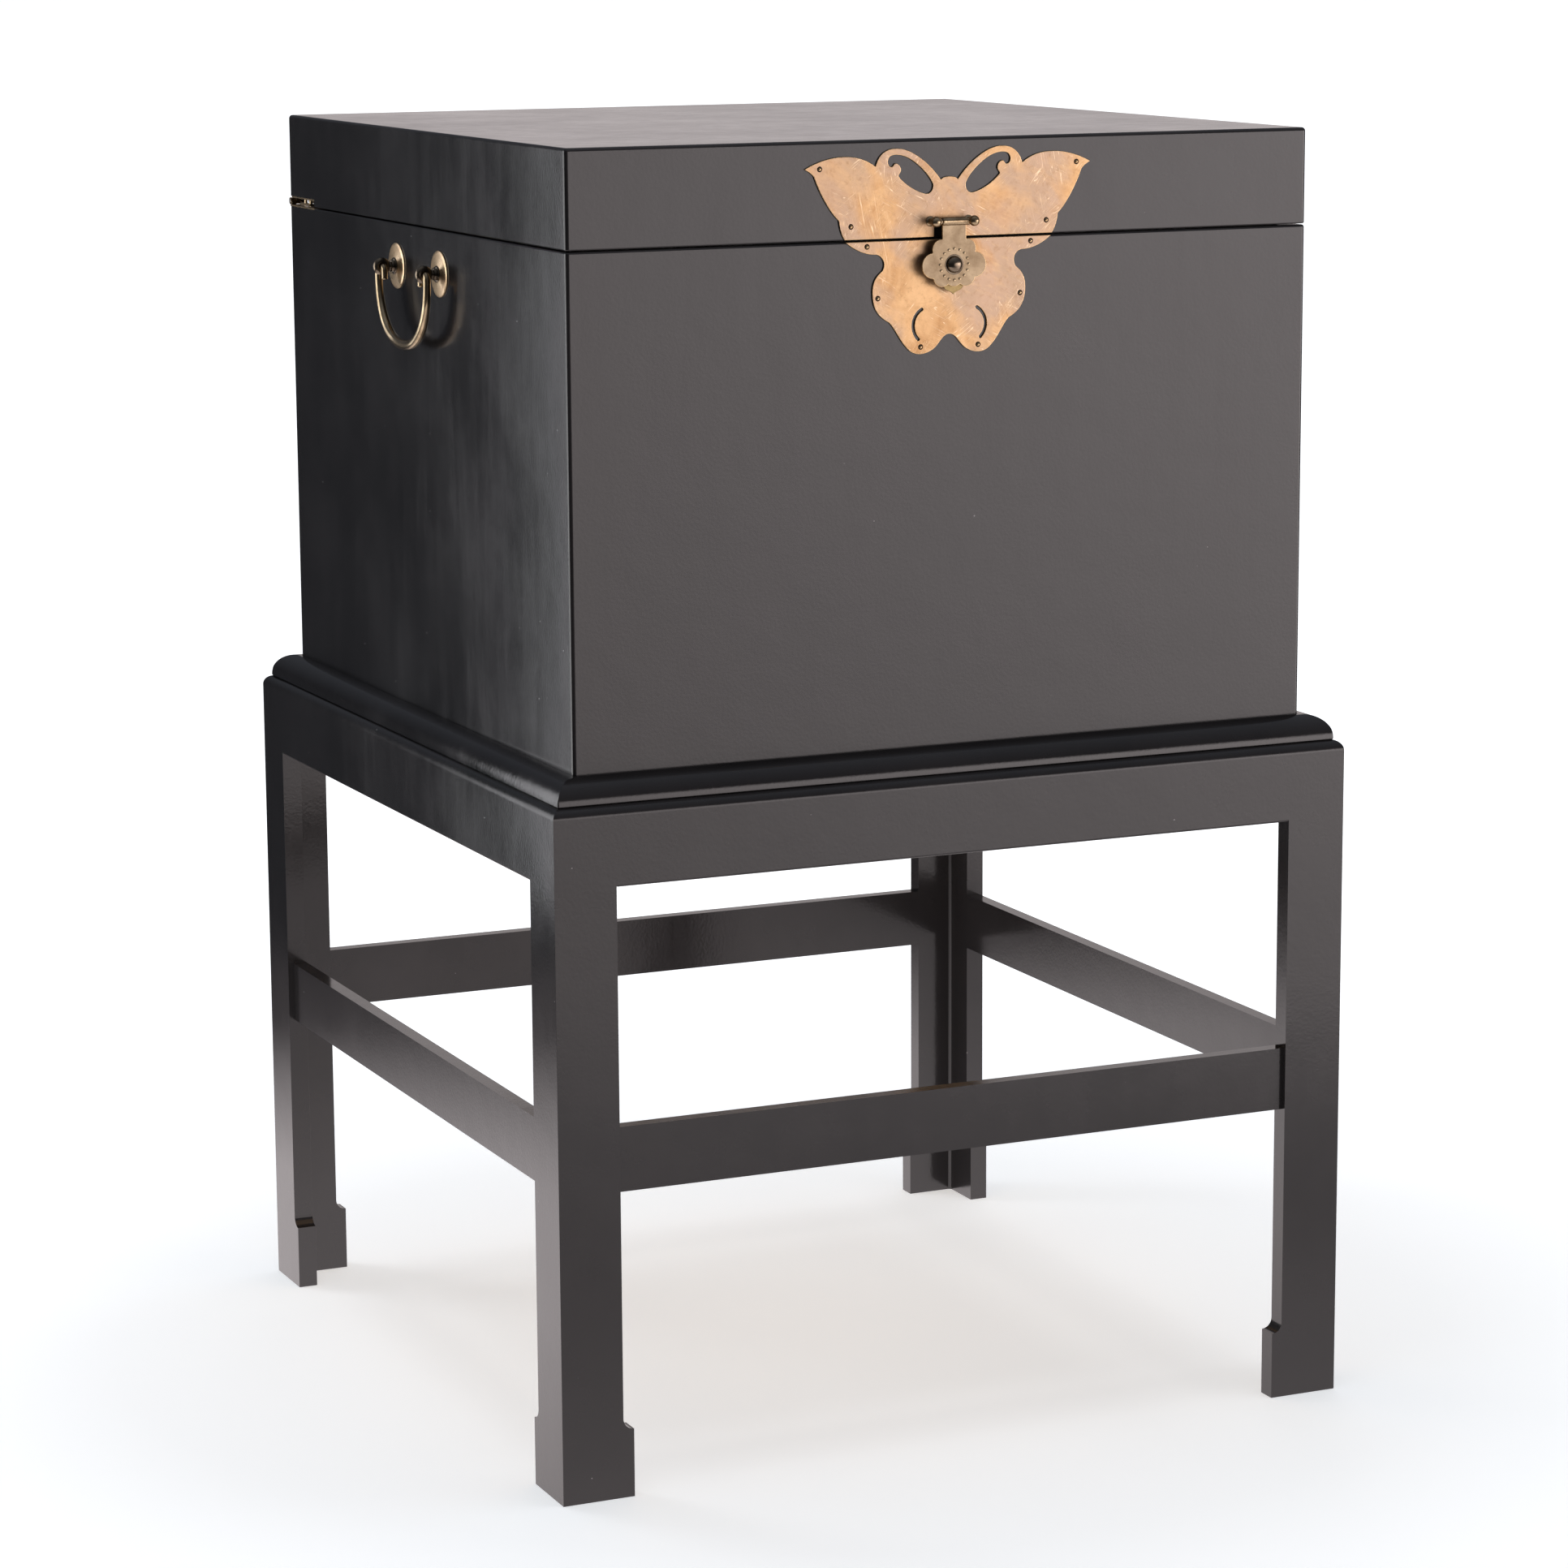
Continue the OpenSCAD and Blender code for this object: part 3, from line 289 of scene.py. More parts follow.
LACQUER = lacquer("black_lacquer")
LACQUER_STAND = lacquer("black_lacquer_stand", 0.85, 0.15)
LACQUER_MOULD = lacquer("black_lacquer_moulding", 0.85, 0.10)
LACQUER_INSIDE = lacquer("black_lacquer_inside", 1.1, 0.3)
PLATE = brass_plate("rubbed_sheet_brass")
# Brighter brass on the plate rims and nail heads: a painted highlight where they catch the light.
RIM_HIGHLIGHT = cast_brass("brass_painted_highlight", (0.86, 0.63, 0.36), (0.60, 0.40, 0.20), 0.24)
FLOWER = cast_brass("satin_brass", (0.33, 0.255, 0.165), (0.23, 0.165, 0.10), 0.36, 60.0)
BRIGHT = cast_brass("turned_brass", (0.60, 0.46, 0.29), (0.30, 0.21, 0.12), 0.24, 140.0)
ROSETTE = cast_brass("rosette_brass", (0.70, 0.53, 0.34), (0.42, 0.29, 0.17), 0.28, 90.0)
AGED = cast_brass("aged_brass", (0.50, 0.39, 0.25), (0.24, 0.18, 0.11), 0.18, 60.0, 0.5)
# Near-black brass for the discs under the nail heads: a painted shadow round each head.
NAIL_SHADE_PAINT = cast_brass("painted_nail_shade", (0.03, 0.025, 0.02), (0.01, 0.008, 0.007), 0.5, 200.0)
LEAF = cast_brass("olive_brass", (0.30, 0.22, 0.10), (0.17, 0.12, 0.05), 0.34, 90.0)
KNOB = cast_brass("browned_brass", (0.30, 0.235, 0.17), (0.12, 0.09, 0.065), 0.20, 90.0, 0.6)
DOT = cast_brass("rubbed_brass_dots", (0.95, 0.74, 0.48), (0.60, 0.44, 0.26), 0.46)
# Blackened brass of the pull posts; the same dark brass also makes the painted shade ring round the
# knob.
DARK = cast_brass("blackened_brass_and_knob_shade", (0.25, 0.20, 0.145), (0.07, 0.055, 0.04), 0.20, 70.0, 0.6)
FELT = felt_cloth("wine_felt", (0.22, 0.025, 0.045), (0.10, 0.010, 0.020))
SUEDE = felt_cloth("wine_suede", (0.27, 0.045, 0.06), (0.13, 0.018, 0.028), 1.6)
WOOD = bare_wood("bare_wood")
STEEL = plated_steel("plated_steel")
MIRROR = silvered_glass("silvered_glass")

# ---- Mesh helpers ----


def new_object(name, mesh):
    made = bpy.data.objects.new(name, mesh)
    scene.collection.objects.link(made)
    return made


def mesh_from(bm, name, materials=()):
    """A mesh made from a bmesh, which is used up."""
    mesh = bpy.data.meshes.new(name)
    bm.to_mesh(mesh)
    bm.free()
    for material in materials:
        mesh.materials.append(material)
    return mesh


def smooth(mesh):
    """Turns on smooth shading for every face."""
    mesh.polygons.foreach_set("use_smooth", [True] * len(mesh.polygons))
    return mesh


def from_bmesh(bm, name, materials, angle=35):
    """Closes doubles, turns faces outward and makes an object with smooth shading."""
    bmesh.ops.remove_doubles(bm, verts=bm.verts, dist=2e-6)
    bmesh.ops.dissolve_degenerate(bm, edges=bm.edges, dist=1e-7)
    bmesh.ops.recalc_face_normals(bm, faces=bm.faces)
    mesh = smooth(mesh_from(bm, name, materials))
    mesh.set_sharp_from_angle(angle=math.radians(angle))
    return new_object(name, mesh)


def settle(obj, *nodes, body=None, slot=None):
    """Puts a finished piece on the body of the CAD nodes it stands for."""
    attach(obj, body or BODY_OF[nodes[0]])
    if nodes:
        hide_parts(*nodes)
    return obj


def applied(obj):
    """The object with its modifiers made part of its mesh."""
    bpy.context.view_layer.update()
    seen = obj.evaluated_get(bpy.context.evaluated_depsgraph_get())
    mesh = bpy.data.meshes.new_from_object(seen, preserve_all_data_layers=True,
                                           depsgraph=bpy.context.evaluated_depsgraph_get())
    old = obj.data
    obj.modifiers.clear()
    obj.data = mesh
    bpy.data.meshes.remove(old)
    return obj


def flatten(obj):
    """Keeps the large flat faces beside rounded edges flat in shading."""
    obj.data.set_sharp_from_angle(angle=math.radians(40))
    even = obj.modifiers.new("even", "WEIGHTED_NORMAL")
    even.mode = "FACE_AREA_WITH_ANGLE"
    even.weight = 100
    even.keep_sharp = True
    return applied(obj)


def ease(obj, width, segments=3, angle=35, weighted=False):
    """Rounds a piece's sharp edges and keeps its flat faces flat."""
    bevel = obj.modifiers.new("ease", "BEVEL")
    bevel.width = width
    bevel.segments = segments
    bevel.limit_method = "WEIGHT" if weighted else "ANGLE"
    bevel.angle_limit = math.radians(angle)
    bevel.use_clamp_overlap = True
    return flatten(applied(obj))


def bmesh_of(node):
    """A CAD node's mesh, its corners joined and its flat faces merged."""
    bm = bmesh.new()
    bm.from_mesh(frame["nodes"][node].data)
    bmesh.ops.remove_doubles(bm, verts=bm.verts, dist=1e-6)
    bmesh.ops.dissolve_limit(bm, angle_limit=math.radians(0.5), verts=bm.verts, edges=bm.edges)
    return bm


def eased_copy(node, material, width, name=None, angle=35, keep=None, cuts=()):
    """A CAD node with eased edges; keep(edge middle) says which sharp edges are eased."""
    bm = bmesh_of(node)
    for point, normal in cuts:
        bmesh.ops.bisect_plane(bm, geom=bm.verts[:] + bm.edges[:] + bm.faces[:],
                               plane_co=point, plane_no=normal, dist=1e-6)
    if keep is not None:
        layer = bm.edges.layers.float.new("bevel_weight_edge")
        for edge in bm.edges:
            sharp = edge.is_manifold and edge.calc_face_angle(0) > math.radians(angle)
            middle = (edge.verts[0].co + edge.verts[1].co) / 2
            edge[layer] = 1.0 if sharp and keep(middle, edge) else 0.0
    obj = from_bmesh(bm, name or node + "_piece", [material], angle)
    ease(obj, width, 3, angle, keep is not None)
    return settle(obj, node)


def loft(bm, rings, closed_ring=True, caps=True):
    """Joins rings of points, one to the next, with quads."""
    rows = [[bm.verts.new(p) for p in ring] for ring in rings]
    count = len(rows[0])
    for a, b in zip(rows, rows[1:]):
        for i in range(count if closed_ring else count - 1):
            j = (i + 1) % count
            bm.faces.new((a[i], a[j], b[j], b[i]))
    if caps:
        bm.faces.new(rows[0])
        bm.faces.new(list(reversed(rows[-1])))
    return rows


def lathe(bm, profile, origin, direction, steps=48, bored=False):
    """Turns a profile of (distance along, radius) about an axis. The ends are closed, or when
    bored the last point is joined to the first, which leaves a tube."""
    axis = Vector(direction).normalized()
    side = axis.orthogonal().normalized()
    other = axis.cross(side)
    rings = []
    for along, radius in [*profile, profile[0]] if bored else profile:
        middle = Vector(origin) + axis * along
        r = max(radius, 1e-5)
        rings.append([middle + (side * math.cos(t) + other * math.sin(t)) * r
                      for t in (2 * math.pi * k / steps for k in range(steps))])
    loft(bm, rings, caps=not bored)


def round_profile(points, radius, steps=4):
    """A closed 2D outline with its corners rounded to the given radius or radii."""
    out = []
    count = len(points)
    for i, p in enumerate(points):
        r = radius[i] if isinstance(radius, (list, tuple)) else radius
        if r <= 0:
            out.append(Vector(p))
            continue
        p = Vector(p)
        a = (Vector(points[i - 1]) - p).normalized()
        b = (Vector(points[(i + 1) % count]) - p).normalized()
        half = a.angle(b) / 2
        reach = r / math.tan(half)
        centre = p + (a + b).normalized() * (r / math.sin(half))
        start, end = p + a * reach - centre, p + b * reach - centre
        turn = start.angle_signed(end)
        for k in range(steps + 1):
            t = -turn * k / steps
            out.append(centre + Matrix.Rotation(t, 2) @ start)
    return out


def mitred(name, side, half_x, half_y, profile, corner_r, material, arc_steps=4):
    """One board of a mitred frame: (inset, height) points swept along a side of the frame,
    with its half of each rounded corner."""
    across = side in ("front", "back")
    half, off = (half_x, half_y) if across else (half_y, half_x)
    angles = [math.pi / 4 + math.pi / 4 * k / arc_steps for k in range(arc_steps + 1)]
    stations = [(-1, a) for a in angles] + [(1, a) for a in reversed(angles)]
    rings = []
    for way, a in stations:
        ring = []
        for inset, z in profile:
            r = max(corner_r - inset, 0.0)
            c = max(corner_r, inset)
            x = (half - c) + r * math.cos(a)
            y = -(off - c) - r * math.sin(a)
            ring.append(Vector((way * x, y, z)))
        rings.append(ring)
    bm = bmesh.new()
    loft(bm, rings)
    turn = {"front": 0, "right": 90, "back": 180, "left": 270}[side]
    bmesh.ops.transform(bm, matrix=Matrix.Rotation(math.radians(turn), 4, "Z"), verts=bm.verts)
    return from_bmesh(bm, name, [material], 25)


def box_bmesh(low, high):
    """A box between two corners."""
    bm = bmesh.new()
    bmesh.ops.create_cube(bm, size=1.0)
    for v in bm.verts:
        v.co = Vector([(low[i] + high[i]) / 2 + v.co[i] * (high[i] - low[i]) for i in range(3)])
    return bm


def cut_box(obj, low, high):
    """Cuts a box-shaped recess out of a piece."""
    cutter = new_object("cutter", mesh_from(box_bmesh(low, high), "cutter"))
    cut = obj.modifiers.new("cut", "BOOLEAN")
    cut.operation = "DIFFERENCE"
    cut.solver = "EXACT"
    cut.object = cutter
    applied(obj)
    bpy.data.objects.remove(cutter)
    return obj


def flat_plate(name, outline, holes, out, rim, face_finish, origin_z=SEAM_Z):
    """Sheet metal standing out from the chest's front: an outline with holes and rounded rims.
    Points are across and up, in millimetres, from origin_z on the middle line."""
    curve = bpy.data.curves.new(name, "CURVE")
    curve.dimensions = "2D"
    curve.fill_mode = "BOTH"
    curve.extrude = PLATE_T / 2 - rim
    curve.bevel_depth = rim
    curve.bevel_resolution = 2
    curve.offset = -rim
    for points in [outline, *holes]:
        spline = curve.splines.new("POLY")
        spline.points.add(len(points) - 1)
        for point, (x, z) in zip(spline.points, points):
            point.co = (x * MM, z * MM, 0, 1)
        spline.use_cyclic_u = True
    holder = new_object(name + "_curve", curve)
    bpy.context.view_layer.update()
    mesh = bpy.data.meshes.new_from_object(
        holder.evaluated_get(bpy.context.evaluated_depsgraph_get()))
    bpy.data.objects.remove(holder)
    bm = bmesh.new()
    bm.from_mesh(mesh)
    bpy.data.meshes.remove(mesh)
    bmesh.ops.transform(bm, matrix=Matrix.Rotation(math.pi / 2, 4, "X"), verts=bm.verts)
    shift = Vector((0, FACE_Y - out - PLATE_T / 2, origin_z))
    bmesh.ops.translate(bm, vec=shift, verts=bm.verts)
    # The rim faces take the brighter brass, a painted highlight along each plate's outline.
    obj = from_bmesh(bm, name, [face_finish, RIM_HIGHLIGHT], 40)
    for face in obj.data.polygons:
        face.material_index = 0 if abs(face.normal.y) > 0.97 else 1
    return flatten(obj)


def joined(parts, name):
    """Several pieces made one object, each with its own finish."""
    bm = bmesh.new()
    materials = []
    for part in parts:
        places = []
        for material in part.data.materials:
            if material not in materials:
                materials.append(material)
            places.append(materials.index(material))
        first = len(bm.faces)
        bm.from_mesh(part.data)
        bm.faces.ensure_lookup_table()
        for face in bm.faces[first:]:
            face.material_index = places[face.material_index]
        mesh = part.data
        bpy.data.objects.remove(part)
        bpy.data.meshes.remove(mesh)
    return flatten(new_object(name, smooth(mesh_from(bm, name, materials))))


def cubic(curves, steps):
    """Points along a chain of cubic curves, without the last one."""
    out = []
    for a, b, c, d in curves:
        for k in range(steps):
            t = k / steps
            u = 1 - t
            out.append(tuple(u ** 3 * a[i] + 3 * u * u * t * b[i] + 3 * u * t * t * c[i]
                             + t ** 3 * d[i] for i in (0, 1)))
    return out


def mirrored(points):
    """An outline turned over, left for right, and run the other way."""
    return [(-x, z) for x, z in reversed(points)]


# ---- Stand ----

LEG_BOARD = 17 * MM  # a little over the thickness of either of a leg's two boards

def on_joint(middle, edge):
    """True for the edges of the butt joints between legs, aprons and rails."""
    a, b = edge.verts[0].co, edge.verts[1].co
    for axis, plane in ((0, LEG_IN_X), (1, LEG_IN_Y)):
        if abs(abs(a[axis]) - plane) < 1e-5 and abs(abs(b[axis]) - plane) < 1e-5:
            if middle.z > APRON_Z + 1e-5 or RAIL_Z0 - 1e-5 < middle.z < RAIL_Z1 + 1e-5:
                return True
    return False


def keep_leg(middle, edge):
    """True for a leg's outer edges: its inner corner and the joint under the chest stay sharp."""
    if on_joint(middle, edge) and middle.z > APRON_Z:
        return False
    return abs(middle.x) >= STAND_X - LEG_BOARD or abs(middle.y) >= STAND_Y - LEG_BOARD


def keep_board(middle, edge):
    """True for every edge of an apron or rail but those of its joints."""
    return not on_joint(middle, edge)


for end_name in ("front", "back"):
    for hand in ("left", "right"):
        eased_copy(f"leg_{end_name}_{hand}", LACQUER_STAND, 1.8 * MM, keep=keep_leg,
                   cuts=[((0, 0, APRON_Z), (0, 0, 1))])
for side in ("front", "back", "left", "right"):
    eased_copy(f"apron_{side}", LACQUER_STAND, 1.8 * MM, keep=keep_board)
    eased_copy(f"rail_{side}", LACQUER_STAND, 1.4 * MM, keep=keep_board)

# ---- Moulding ----

MOULD_X = span("moulding_front", 0)[1]
MOULD_Y = span("moulding_left", 1)[1]
MOULD_Z0, MOULD_Z1 = span("moulding_front", 2)
MOULD_DEEP = span("moulding_front", 1)[1] - span("moulding_front", 1)[0]
MOULD_ROUND = 17.5 * MM
MOULD_CHAMFER = 0.8 * MM


def moulding_profile():
    """(inset, height) points: a quarter round above an upright band with a chamfered foot."""
    steps = 12
    points = [(0.0, MOULD_Z0 + MOULD_CHAMFER)]
    for k in range(steps + 1):
        t = math.pi / 2 * k / steps
        points.append((MOULD_ROUND * (1 - math.cos(t)), MOULD_Z1 - MOULD_ROUND * (1 - math.sin(t))))
    points += [(MOULD_DEEP, MOULD_Z1), (MOULD_DEEP, MOULD_Z0), (MOULD_CHAMFER, MOULD_Z0)]
    return points


for side in ("front", "back", "left", "right"):
    settle(flatten(mitred(f"moulding_{side}_length", side, MOULD_X, MOULD_Y, moulding_profile(),
                          1.2 * MM, LACQUER_MOULD)), f"moulding_{side}")

# ---- Chest walls and lid rails ----

CORNER_R = 3.0 * MM
LEAF_IN = span("hinge_leaves_chest", 0)[1]
LEAF_Y0 = span("hinge_leaves_chest", 1)[0]
LEAF_Z0 = span("hinge_leaves_chest", 2)[0]
LEAF_W = 12 * MM
BEYOND = 10 * MM  # how far a cutter runs past the piece it cuts


def wall_profile():
    """(inset, height) points of a chest wall, its rim rounded."""
    corners = [(0, CHEST_Z0), (0, RIM_Z), (WALL_T, RIM_Z), (WALL_T, CHEST_Z0)]
    return round_profile(corners, [0, 2.0 * MM, 0.5 * MM, 0], 5)


def lid_profile():
    """(inset, height) points of a lid rail, rebated for the top panel."""
    rebate = CHEST_X - LID_TOP_X
    corners = [(0, LID_Z0), (0, LID_Z1), (rebate, LID_Z1), (rebate, LID_TOP_Z),
               (WALL_T, LID_TOP_Z), (WALL_T, LID_Z0)]
    return round_profile(corners, [1.2 * MM, 2.9 * MM, 0, 0, 0, 0.5 * MM], 6)


for side in ("front", "back", "left", "right"):
    wall = mitred(f"chest_{side}_wall", side, CHEST_X, CHEST_Y, wall_profile(), CORNER_R, LACQUER)
    rail = mitred(f"lid_{side}_rail", side, CHEST_X, CHEST_Y, lid_profile(), CORNER_R, LACQUER)
    for hand in (-1, 1):
        if side in ("back", "left" if hand < 0 else "right"):
            x0, x1 = sorted((hand * (LEAF_IN - LEAF_W), hand * (CHEST_X + BEYOND)))
            cut_box(wall, (x0, LEAF_Y0, LEAF_Z0), (x1, CHEST_Y + BEYOND, RIM_Z + BEYOND))
            x0, x1 = sorted((hand * (CHEST_X - WALL_T - 1 * MM), hand * (CHEST_X + BEYOND)))
            top = span("hinge_leaves_lid", 2)[1]
            cut_box(rail, (x0, LEAF_Y0 - 0.5 * MM, LID_Z0 - BEYOND), (x1, CHEST_Y + BEYOND, top))
    settle(flatten(wall), f"chest_{side}")
    settle(flatten(rail), f"lid_{side}")

# The panel lies flush between the rails under the same film, so no joint shows
settle(from_bmesh(box_bmesh(*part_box("lid_top")), "lid_top_panel", [LACQUER], 30), "lid_top")

# ---- Latch plates: outlines are across and up from the middle of the seam, in millimetres ----

PLATE_RIM = 0.45 * MM
GAP = 0.8
UPPER_EDGE = [
    [(85.4, GAP), (88.5, 5), (89.8, 10), (90.3, 15.3)],
    [(90.3, 15.3), (97, 21), (106, 36), (110.2, 47.8)],
    [(110.2, 47.8), (112.5, 50.5), (115, 51.8), (117.7, 53.2)],
    [(117.7, 53.2), (103, 61.5), (77, 67), (60.4, 53.9)],
    [(60.4, 53.9), (57, 66), (47, 67.5), (40, 66.5)],
    [(40, 66.5), (28, 64.8), (14, 53), (7, 43)],
    [(7, 43), (5.5, 44.6), (3, 45.3), (0, 45.3)]]
LOWER_EDGE = [
    [(84.9, -GAP), (78, -6.5), (69, -10.6), (61, -10.6)],
    [(61, -10.6), (54.5, -10.8), (51.8, -18.2), (55.2, -22.8)],
    [(55.2, -22.8), (60, -26.5), (63.4, -30.5), (63.3, -39)],
    [(63.3, -39), (63.3, -50), (58.5, -56.5), (49.6, -61)],
    [(49.6, -61), (44.5, -66), (41, -74.5), (35.5, -80)],
    [(35.5, -80), (30.5, -86.2), (22.5, -87.3), (14, -82.6)],
    [(14, -82.6), (8, -79), (6, -71.4), (0, -71.3)]]
ANTENNA_GAP = [
    [(13.6, 40), (13, 35.5), (15.5, 32.6), (19.5, 33)],
    [(19.5, 33), (27, 34.5), (36, 40), (41.2, 45.8)],
    [(41.2, 45.8), (42.5, 47.2), (39.5, 48.5), (39.6, 50.8)],
    [(39.6, 50.8), (39.7, 54), (43, 56.8), (44.8, 55.6)],
    [(44.8, 55.6), (46, 54.5), (46, 53), (48, 53.4)],
    [(48, 53.4), (50.6, 54), (51.2, 58.5), (48.6, 60.8)],
    [(48.6, 60.8), (45, 63.2), (37, 61.8), (31, 58)],
    [(31, 58), (24, 53.8), (16, 46), (13.6, 40)]]
NOTCH_X, NOTCH_Z = 12.5, 9.0
SLOT_C, SLOT_R, SLOT_W, SLOT_A, SLOT_B = (16.1, -64.3), 13.8, 2.3, -46, 61
UPPER_NAILS = [(105.6, 53.1), (80.5, 10.5)]
LOWER_NAILS = [(67.5, -4.6), (58.8, -42.9), (23.8, -80.1)]


def arc(centre, radius, start, end, steps):
    out = []
    for k in range(steps + 1):
        a = math.radians(start + (end - start) * k / steps)
        out.append((centre[0] + radius * math.cos(a), centre[1] + radius * math.sin(a)))
    return out


def slot_outline():
    wide = SLOT_W / 2
    end_a, end_b = arc(SLOT_C, SLOT_R, SLOT_A, SLOT_B, 1)
    return (arc(SLOT_C, SLOT_R + wide, SLOT_A, SLOT_B, 24)
            + arc(end_b, wide, SLOT_B + 20, SLOT_B + 160, 7)
            + arc(SLOT_C, SLOT_R - wide, SLOT_B, SLOT_A, 24)
            + arc(end_a, wide, SLOT_A + 200, SLOT_A + 340, 7))


def latch_plates():
    right = cubic(UPPER_EDGE, 18)
    outline = (right + [(0, UPPER_EDGE[-1][3][1])] + mirrored(right)
               + [(-NOTCH_X, GAP), (-NOTCH_X, NOTCH_Z), (NOTCH_X, NOTCH_Z), (NOTCH_X, GAP)])
    gap = cubic(ANTENNA_GAP, 12)
    upper = flat_plate("butterfly_plate_upper", outline, [gap, mirrored(gap)], 0, PLATE_RIM, PLATE)
    settle(upper, "latch_plate_upper")
    right = cubic(LOWER_EDGE, 18)
    outline = right + [(0, LOWER_EDGE[-1][3][1])] + mirrored(right)
    slot_points = slot_outline()
    lower = flat_plate("butterfly_plate_lower", outline, [slot_points, mirrored(slot_points)], 0,
                       PLATE_RIM, PLATE)
    settle(lower, "latch_plate_lower")


latch_plates()

# ---- Studs set by Geometry Nodes ----


def stud_tree():
    """A tree that sets one domed stud on each point of a mesh, turned to face the front."""
    tree = bpy.data.node_groups.new("set_studs", "GeometryNodeTree")
    face = tree.interface
    face.new_socket("Geometry", in_out="INPUT", socket_type="NodeSocketGeometry")
    for label, value in (("Radius", 1.0), ("Rise", 0.5)):
        socket = face.new_socket(label, in_out="INPUT", socket_type="NodeSocketFloat")
        socket.default_value = value
    face.new_socket("Finish", in_out="INPUT", socket_type="NodeSocketMaterial")
    face.new_socket("Geometry", in_out="OUTPUT", socket_type="NodeSocketGeometry")
    add, link = tree.nodes.new, tree.links.new
    start, end = add("NodeGroupInput"), add("NodeGroupOutput")
    ball = add("GeometryNodeMeshUVSphere")
    ball.inputs["Segments"].default_value = 20
    ball.inputs["Rings"].default_value = 10
    size = add("ShaderNodeCombineXYZ")
    for axis, label in (("X", "Radius"), ("Y", "Radius"), ("Z", "Rise")):
        link(start.outputs[label], size.inputs[axis])
    shaped = add("GeometryNodeTransform")
    link(ball.outputs["Mesh"], shaped.inputs["Geometry"])
    link(size.outputs["Vector"], shaped.inputs["Scale"])
    spots = add("GeometryNodeMeshToPoints")
    link(start.outputs["Geometry"], spots.inputs["Mesh"])
    place = add("GeometryNodeInstanceOnPoints")
    place.inputs["Rotation"].default_value = (math.pi / 2, 0, 0)
    link(spots.outputs["Points"], place.inputs["Points"])
    link(shaped.outputs["Geometry"], place.inputs["Instance"])
    solid, paint = add("GeometryNodeRealizeInstances"), add("GeometryNodeSetMaterial")
    link(place.outputs["Instances"], solid.inputs["Geometry"])
    link(solid.outputs["Geometry"], paint.inputs["Geometry"])
    link(start.outputs["Finish"], paint.inputs["Material"])
    link(paint.outputs["Geometry"], end.inputs["Geometry"])
    return tree


STUDS = stud_tree()


def socket_id(tree, label):
    """The identifier of a tree's named input."""
    return next(s.identifier for s in tree.interface.items_tree
                if s.name == label and s.in_out == "INPUT")


def studs(name, points, radius, rise, material):
    """Domed studs standing on the given points."""
    mesh = bpy.data.meshes.new(name)
    mesh.from_pydata([tuple(p) for p in points], [], [])
    obj = new_object(name, mesh)
    grow = obj.modifiers.new("studs", "NODES")
    grow.node_group = STUDS
    grow[socket_id(STUDS, "Radius")] = radius
    grow[socket_id(STUDS, "Rise")] = rise
    grow[socket_id(STUDS, "Finish")] = material
    applied(obj)
    smooth(obj.data)
    return obj


def plate_points(pairs, out):
    """Points on both halves of the latch plates, standing out from the chest's front."""
    return [(s * x * MM, FACE_Y - out, SEAM_Z + z * MM) for x, z in pairs for s in (-1, 1)]


NAIL_R, NAIL_RISE, NAIL_LIFT = 1.3 * MM, 1.1 * MM, 0.1 * MM
# Size of the dark disc under each nail head, which paints the shadow round the head
SHADE_DISC_R, SHADE_DISC_RISE = 2.1 * MM, 0.15 * MM

for which, pairs in (("upper", UPPER_NAILS), ("lower", LOWER_NAILS)):
    # The nail heads are the brighter brass, a painted highlight on each dome.
    heads = studs(f"{which}_nail_heads", plate_points(pairs, PLATE_T + NAIL_LIFT), NAIL_R,
                  NAIL_RISE, RIM_HIGHLIGHT)
    settle(heads, f"{which}_plate_nails")
    # A near-black disc under each head: a painted shadow round the nail, not a socket in the plate.
    sockets = studs(f"{which}_nail_shade_discs", plate_points(pairs, PLATE_T), SHADE_DISC_R, SHADE_DISC_RISE,
                    NAIL_SHADE_PAINT)
    settle(sockets, body=BODY_OF[f"{which}_plate_nails"], slot="aged_brass")

# ---- Hasp ----

STRAP_HALF, STRAP_RISE = 9.8, 29.6
PIN_R, PIN_BORE, BARREL_R = 1.5 * MM, 1.7 * MM, 3.1 * MM
GROOVE_AT, GROOVE_HALF, GROOVE_DEEP = 0.72, 0.3 * MM, 0.25 * MM
FLOWER_RIM = 0.4 * MM
DOTS, DOT_RING, DOT_R, DOT_RISE = 16, 11.6 * MM, 1.15 * MM, 0.85 * MM
KNOB_R, RIVET_R = 6.4 * MM, 4.5 * MM
# Lobes of the flower: across, up and radius, in millimetres from its middle
PETALS = [(0, 0, 15.5), (0, -8.5, 7.8)] + [
    (hand * x, z, r) for hand in (-1, 1)
    for x, z, r in ((16.9, -0.6, 9.5), (10.5, 11.3, 7.5), (9.8, -9, 7.4))]


def petal_reach(angle):
    """How far the flower and its strap reach from the middle in one direction."""
    c, s = math.cos(angle), math.sin(angle)
    best = 0.0
    for x, z, r in PETALS:
        along = x * c + z * s
        inside = r * r - (x * x + z * z) + along * along
        if inside > 0:
            best = max(best, along + math.sqrt(inside))
    if s > 0.05:
        best = max(best, min(STRAP_HALF / max(abs(c), 1e-6), STRAP_RISE / s))
    return best


def petal_outline(steps=240):
    out = []
    for k in range(steps):
        a = 2 * math.pi * (k + 0.5) / steps
        r = petal_reach(a)
        out.append((r * math.cos(a), r * math.sin(a)))
    return out


